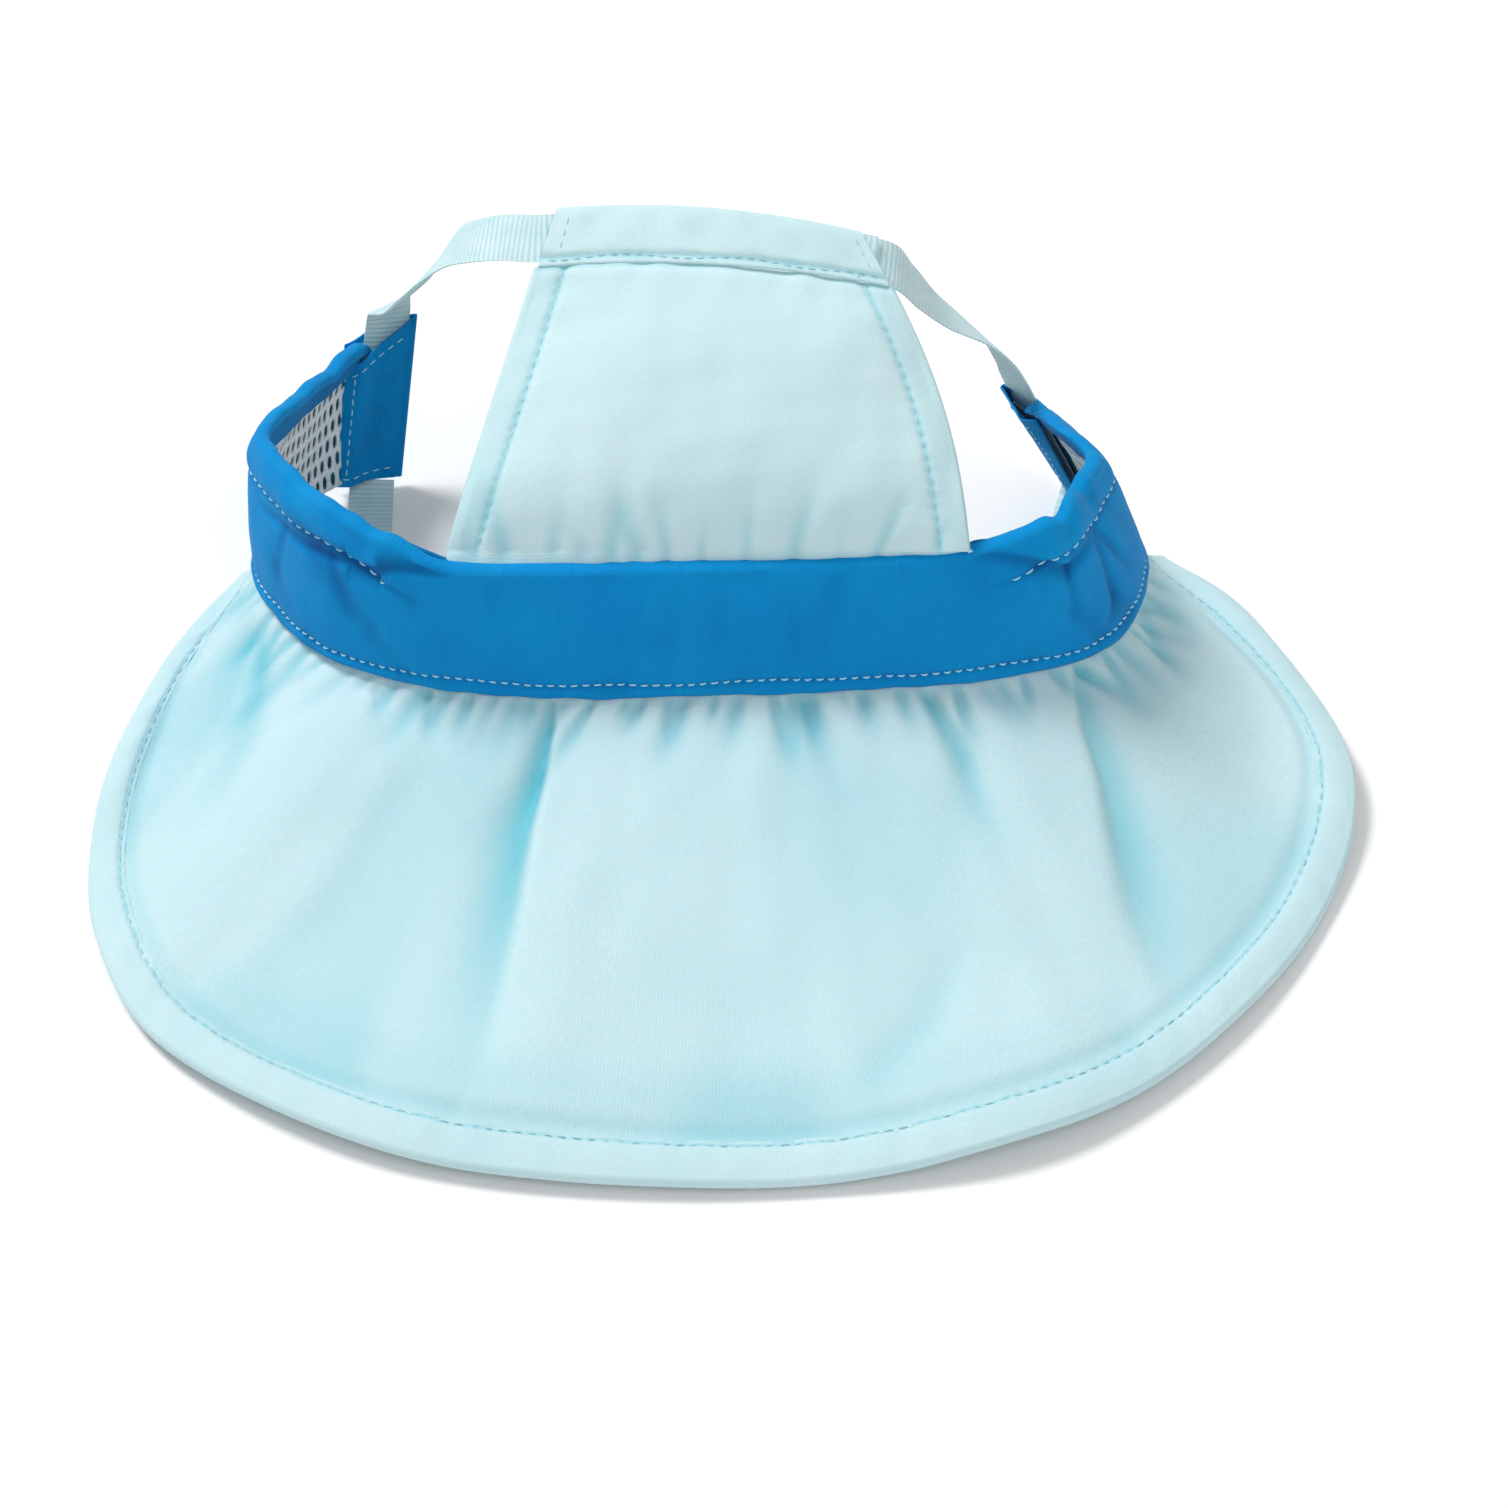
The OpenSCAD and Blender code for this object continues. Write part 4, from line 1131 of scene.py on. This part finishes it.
def casing_stitches():
    """The casing's seam, and a short row across each of its ends."""
    a = np.linspace(-0.97, 0.97, 200)
    b = CROWN_BODY + (CASING_SEAM + 0.5 * np.sin(a * 9)) / CROWN_LENGTH
    rows = [("casing_stitches", a, b)]
    b = np.linspace(CROWN_BODY + 2.5 / CROWN_LENGTH, 0.985, 60)
    rows.append(("casing_end_stitches_left", -0.9 + 0 * b, b))
    rows.append(("casing_end_stitches_right", 0.93 + 0 * b, b))
    for name, a, b in rows:
        path = crown_point(a, b, casing_top(a, b))
        row = stitches(name, path, CROWN_UP, AQUA_THREAD, "aqua_thread", **CROWN_ROW)
        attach(row, "crown")


def casing_ribbon():
    inside, _, _ = ribbon("ribbon_in_casing", casing_route(np.linspace(-1, 1, 24)))
    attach(inside, "crown")
    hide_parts("casing_ribbon")


def casing_route(a):
    """Rows of a ribbon's route through the casing."""
    b = np.full(len(a), CASING_MIDDLE)
    near = crown_point(a, b - 0.02, CASING_HIGH)
    far = crown_point(a, b + 0.02, CASING_HIGH)
    return np.hstack([(near + far) / 2, unit(far - near)])


crown_casing()
casing_stitches()
casing_ribbon()

# ---- Ribbon tabs ----

# How far a tab laps onto the headband, and its size as a flat cloth.
TAB_LAP = 3.0
TAB_WIDE = 13
TAB_HIGH = 40


def tab_root(u, tip):
    """The lower and upper corner of a tab's sewn edge, at the headband's end."""
    station = np.array(float(u))
    low = smooth(LOWER_EDGE, station)
    high = smooth(UPPER_EDGE, station)
    shift = band_outward(station) * -0.5
    return low + unit(tip[0] - low) * 0.3 + shift, high + unit(tip[1] - high) * 0.3 + shift


def tab(name, node, u, tip, inner_node, slant, lip):
    """A sleeve over the headband's end: an outer layer, the folded free edge and an inner layer.
    slant is how much lower the inner layer starts at the headband, and lip how far it stands open."""
    tip = np.asarray(tip, float)
    root = tab_root(u, tip)
    k = np.linspace(0, 1, 60)[:, None]
    share = np.linspace(0, 1, 26)[:-1]
    turn = np.linspace(-np.pi / 2, np.pi / 2, 9)
    run = np.concatenate([share, np.ones(9), share[::-1]])[None, :]
    bend = np.concatenate([0 * share, np.cos(turn), 0 * share])[None, :]
    side = np.concatenate([0 * share - 1, np.sin(turn), 0 * share + 1])[None, :]
    outer_slant = 0.55 * slant * ramp(0.75 - run, 0, 0.75)
    height = k * (1 - np.where(side > 0, slant * (1 - run), outer_slant))
    p = mix(root[0], root[1], height[..., None])
    q = mix(tip[0], tip[1], height[..., None])
    axis = unit(q - p)
    inward = unit(np.cross(axis, unit(root[1] - root[0])))
    outward = band_outward(np.array(float(u)))
    if np.mean(inward @ outward) > 0:
        inward = -inward
    width = np.linalg.norm(q - p, axis=-1)
    reach = -TAB_LAP + (width * 0.96 + TAB_LAP) * run
    swell = 0.5 + 0.8 * np.sin(np.pi * run ** 0.8)
    at_band = bell(np.maximum(reach, 0), 3)
    inner = swell + 2.6 * at_band + lip * ramp(height, 0.55, 1) * np.sin(np.pi * run)
    layer = np.where(run >= 1, 0.75, np.where(side > 0, inner, swell))
    rumple = 0.35 * ripple(height * TAB_HIGH, run * width, 9, 81 + u) * np.sin(np.pi * run)
    place = (layer + rumple) * side

    def sleeve(shrink):
        return (p + axis * (reach + bend * (0.7 - shrink))[..., None]
                + inward * (place - np.sign(side) * shrink)[..., None])

    grid = sleeve(0)
    weave = np.stack([run * TAB_WIDE * side + 0 * k, height * TAB_HIGH], -1)
    # Painted shade in patches over the tab, placed at random.
    painted_shade = 0.25 * np.clip(ripple(height * TAB_HIGH, run * TAB_WIDE, 8, 91), 0, 1)
    piece = slab(name, grid, sleeve(0.42), BLUE, weave, painted_shade)
    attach(piece, "headband")
    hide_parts(node)

    seen = inward[30, 40]
    # Rows and columns of the inner layer, a little way in from its edges.
    paths = [("upper", grid[54, 36:57]), ("lower", grid[4, 36:57]), ("side", grid[4:55, 54])]
    for place_name, path in paths:
        row = stitches("%s_stitches_%s" % (name, place_name), path, seen, PALE_THREAD, "pale_thread",
                       pitch=2.6, length=1.8, radius=0.16)
        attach(row, "headband")

    route = tab_route(u, tip, np.linspace(0, 0.8, 6))
    inside, _, _ = ribbon(name.replace("ribbon_tab", "ribbon_in_tab"), route)
    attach(inside, "headband")
    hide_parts(inner_node)


def tab_route(u, tip, k):
    """Rows of a ribbon's route through a tab, from its lower mouth to its upper one."""
    tip = np.asarray(tip, float)
    root = tab_root(u, tip)
    k = k[:, None]
    low = (root[0] + tip[0]) / 2
    high = (root[1] + tip[1]) / 2
    across = mix(unit(tip[0] - root[0]), unit(tip[1] - root[1]), k)
    return np.hstack([mix(low, high, k), across])


tab("ribbon_tab_left", "tab_left", 0, TAB_LEFT, "tab_ribbon_left", 0.27, 1.1)
tab("ribbon_tab_right", "tab_right", 16, TAB_RIGHT, "tab_ribbon_right", 0.04, 1.6)

# ---- Ribbon over the ear gaps ----


def rear_ribbon(name, node, route, side, u, tip):
    """A run of ribbon from inside the casing to inside a tab."""
    first = casing_route(np.array([side * 0.9]))
    last = tab_route(u, tip, np.array([0.7]))
    piece, _, length = ribbon(name, np.vstack([first, route, last]))
    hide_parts(node)
    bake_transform(piece)


rear_ribbon("rear_ribbon_run_left", "rear_ribbon_left", REAR_LEFT, -1, 0, TAB_LEFT)
rear_ribbon("rear_ribbon_run_right", "rear_ribbon_right", REAR_RIGHT, 1, 16, TAB_RIGHT)

# ---- Floor and light ----

floor_mesh = bpy.data.meshes.new("floor")
floor_mesh.from_pydata([(-3, -3, 0), (3, -3, 0), (3, 3, 0), (-3, 3, 0)], [], [(0, 1, 2, 3)])
floor_material = bpy.data.materials.new("floor")
floor_material.use_nodes = True
floor_shader = floor_material.node_tree.nodes["Principled BSDF"]
floor_shader.inputs["Base Color"].default_value = (0.93, 0.93, 0.93, 1)
floor_shader.inputs["Roughness"].default_value = 0.9
floor_shader.inputs["Specular IOR Level"].default_value = 0.1
floor_mesh.materials.append(floor_material)
floor = bpy.data.objects.new("floor", floor_mesh)
scene.collection.objects.link(floor)


LIGHT_AIM = Vector((0, 0, 0.02))


def area_light(name, place, size, energy):
    data = bpy.data.lights.new(name, "AREA")
    data.size = size
    data.energy = energy
    lamp = bpy.data.objects.new(name, data)
    lamp.location = place
    lamp.rotation_euler = (LIGHT_AIM - Vector(place)).to_track_quat("-Z", "Y").to_euler()
    scene.collection.objects.link(lamp)


area_light("key", (-1.5, 1.1, 2.7), 1.0, 77)
area_light("fill", (0.5, -1.2, 1.5), 1.5, 11)
world = bpy.data.worlds.new("world")
world.use_nodes = True
world.node_tree.nodes["Background"].inputs["Color"].default_value = (1, 1, 1, 1)
world.node_tree.nodes["Background"].inputs["Strength"].default_value = 0.45
scene.world = world
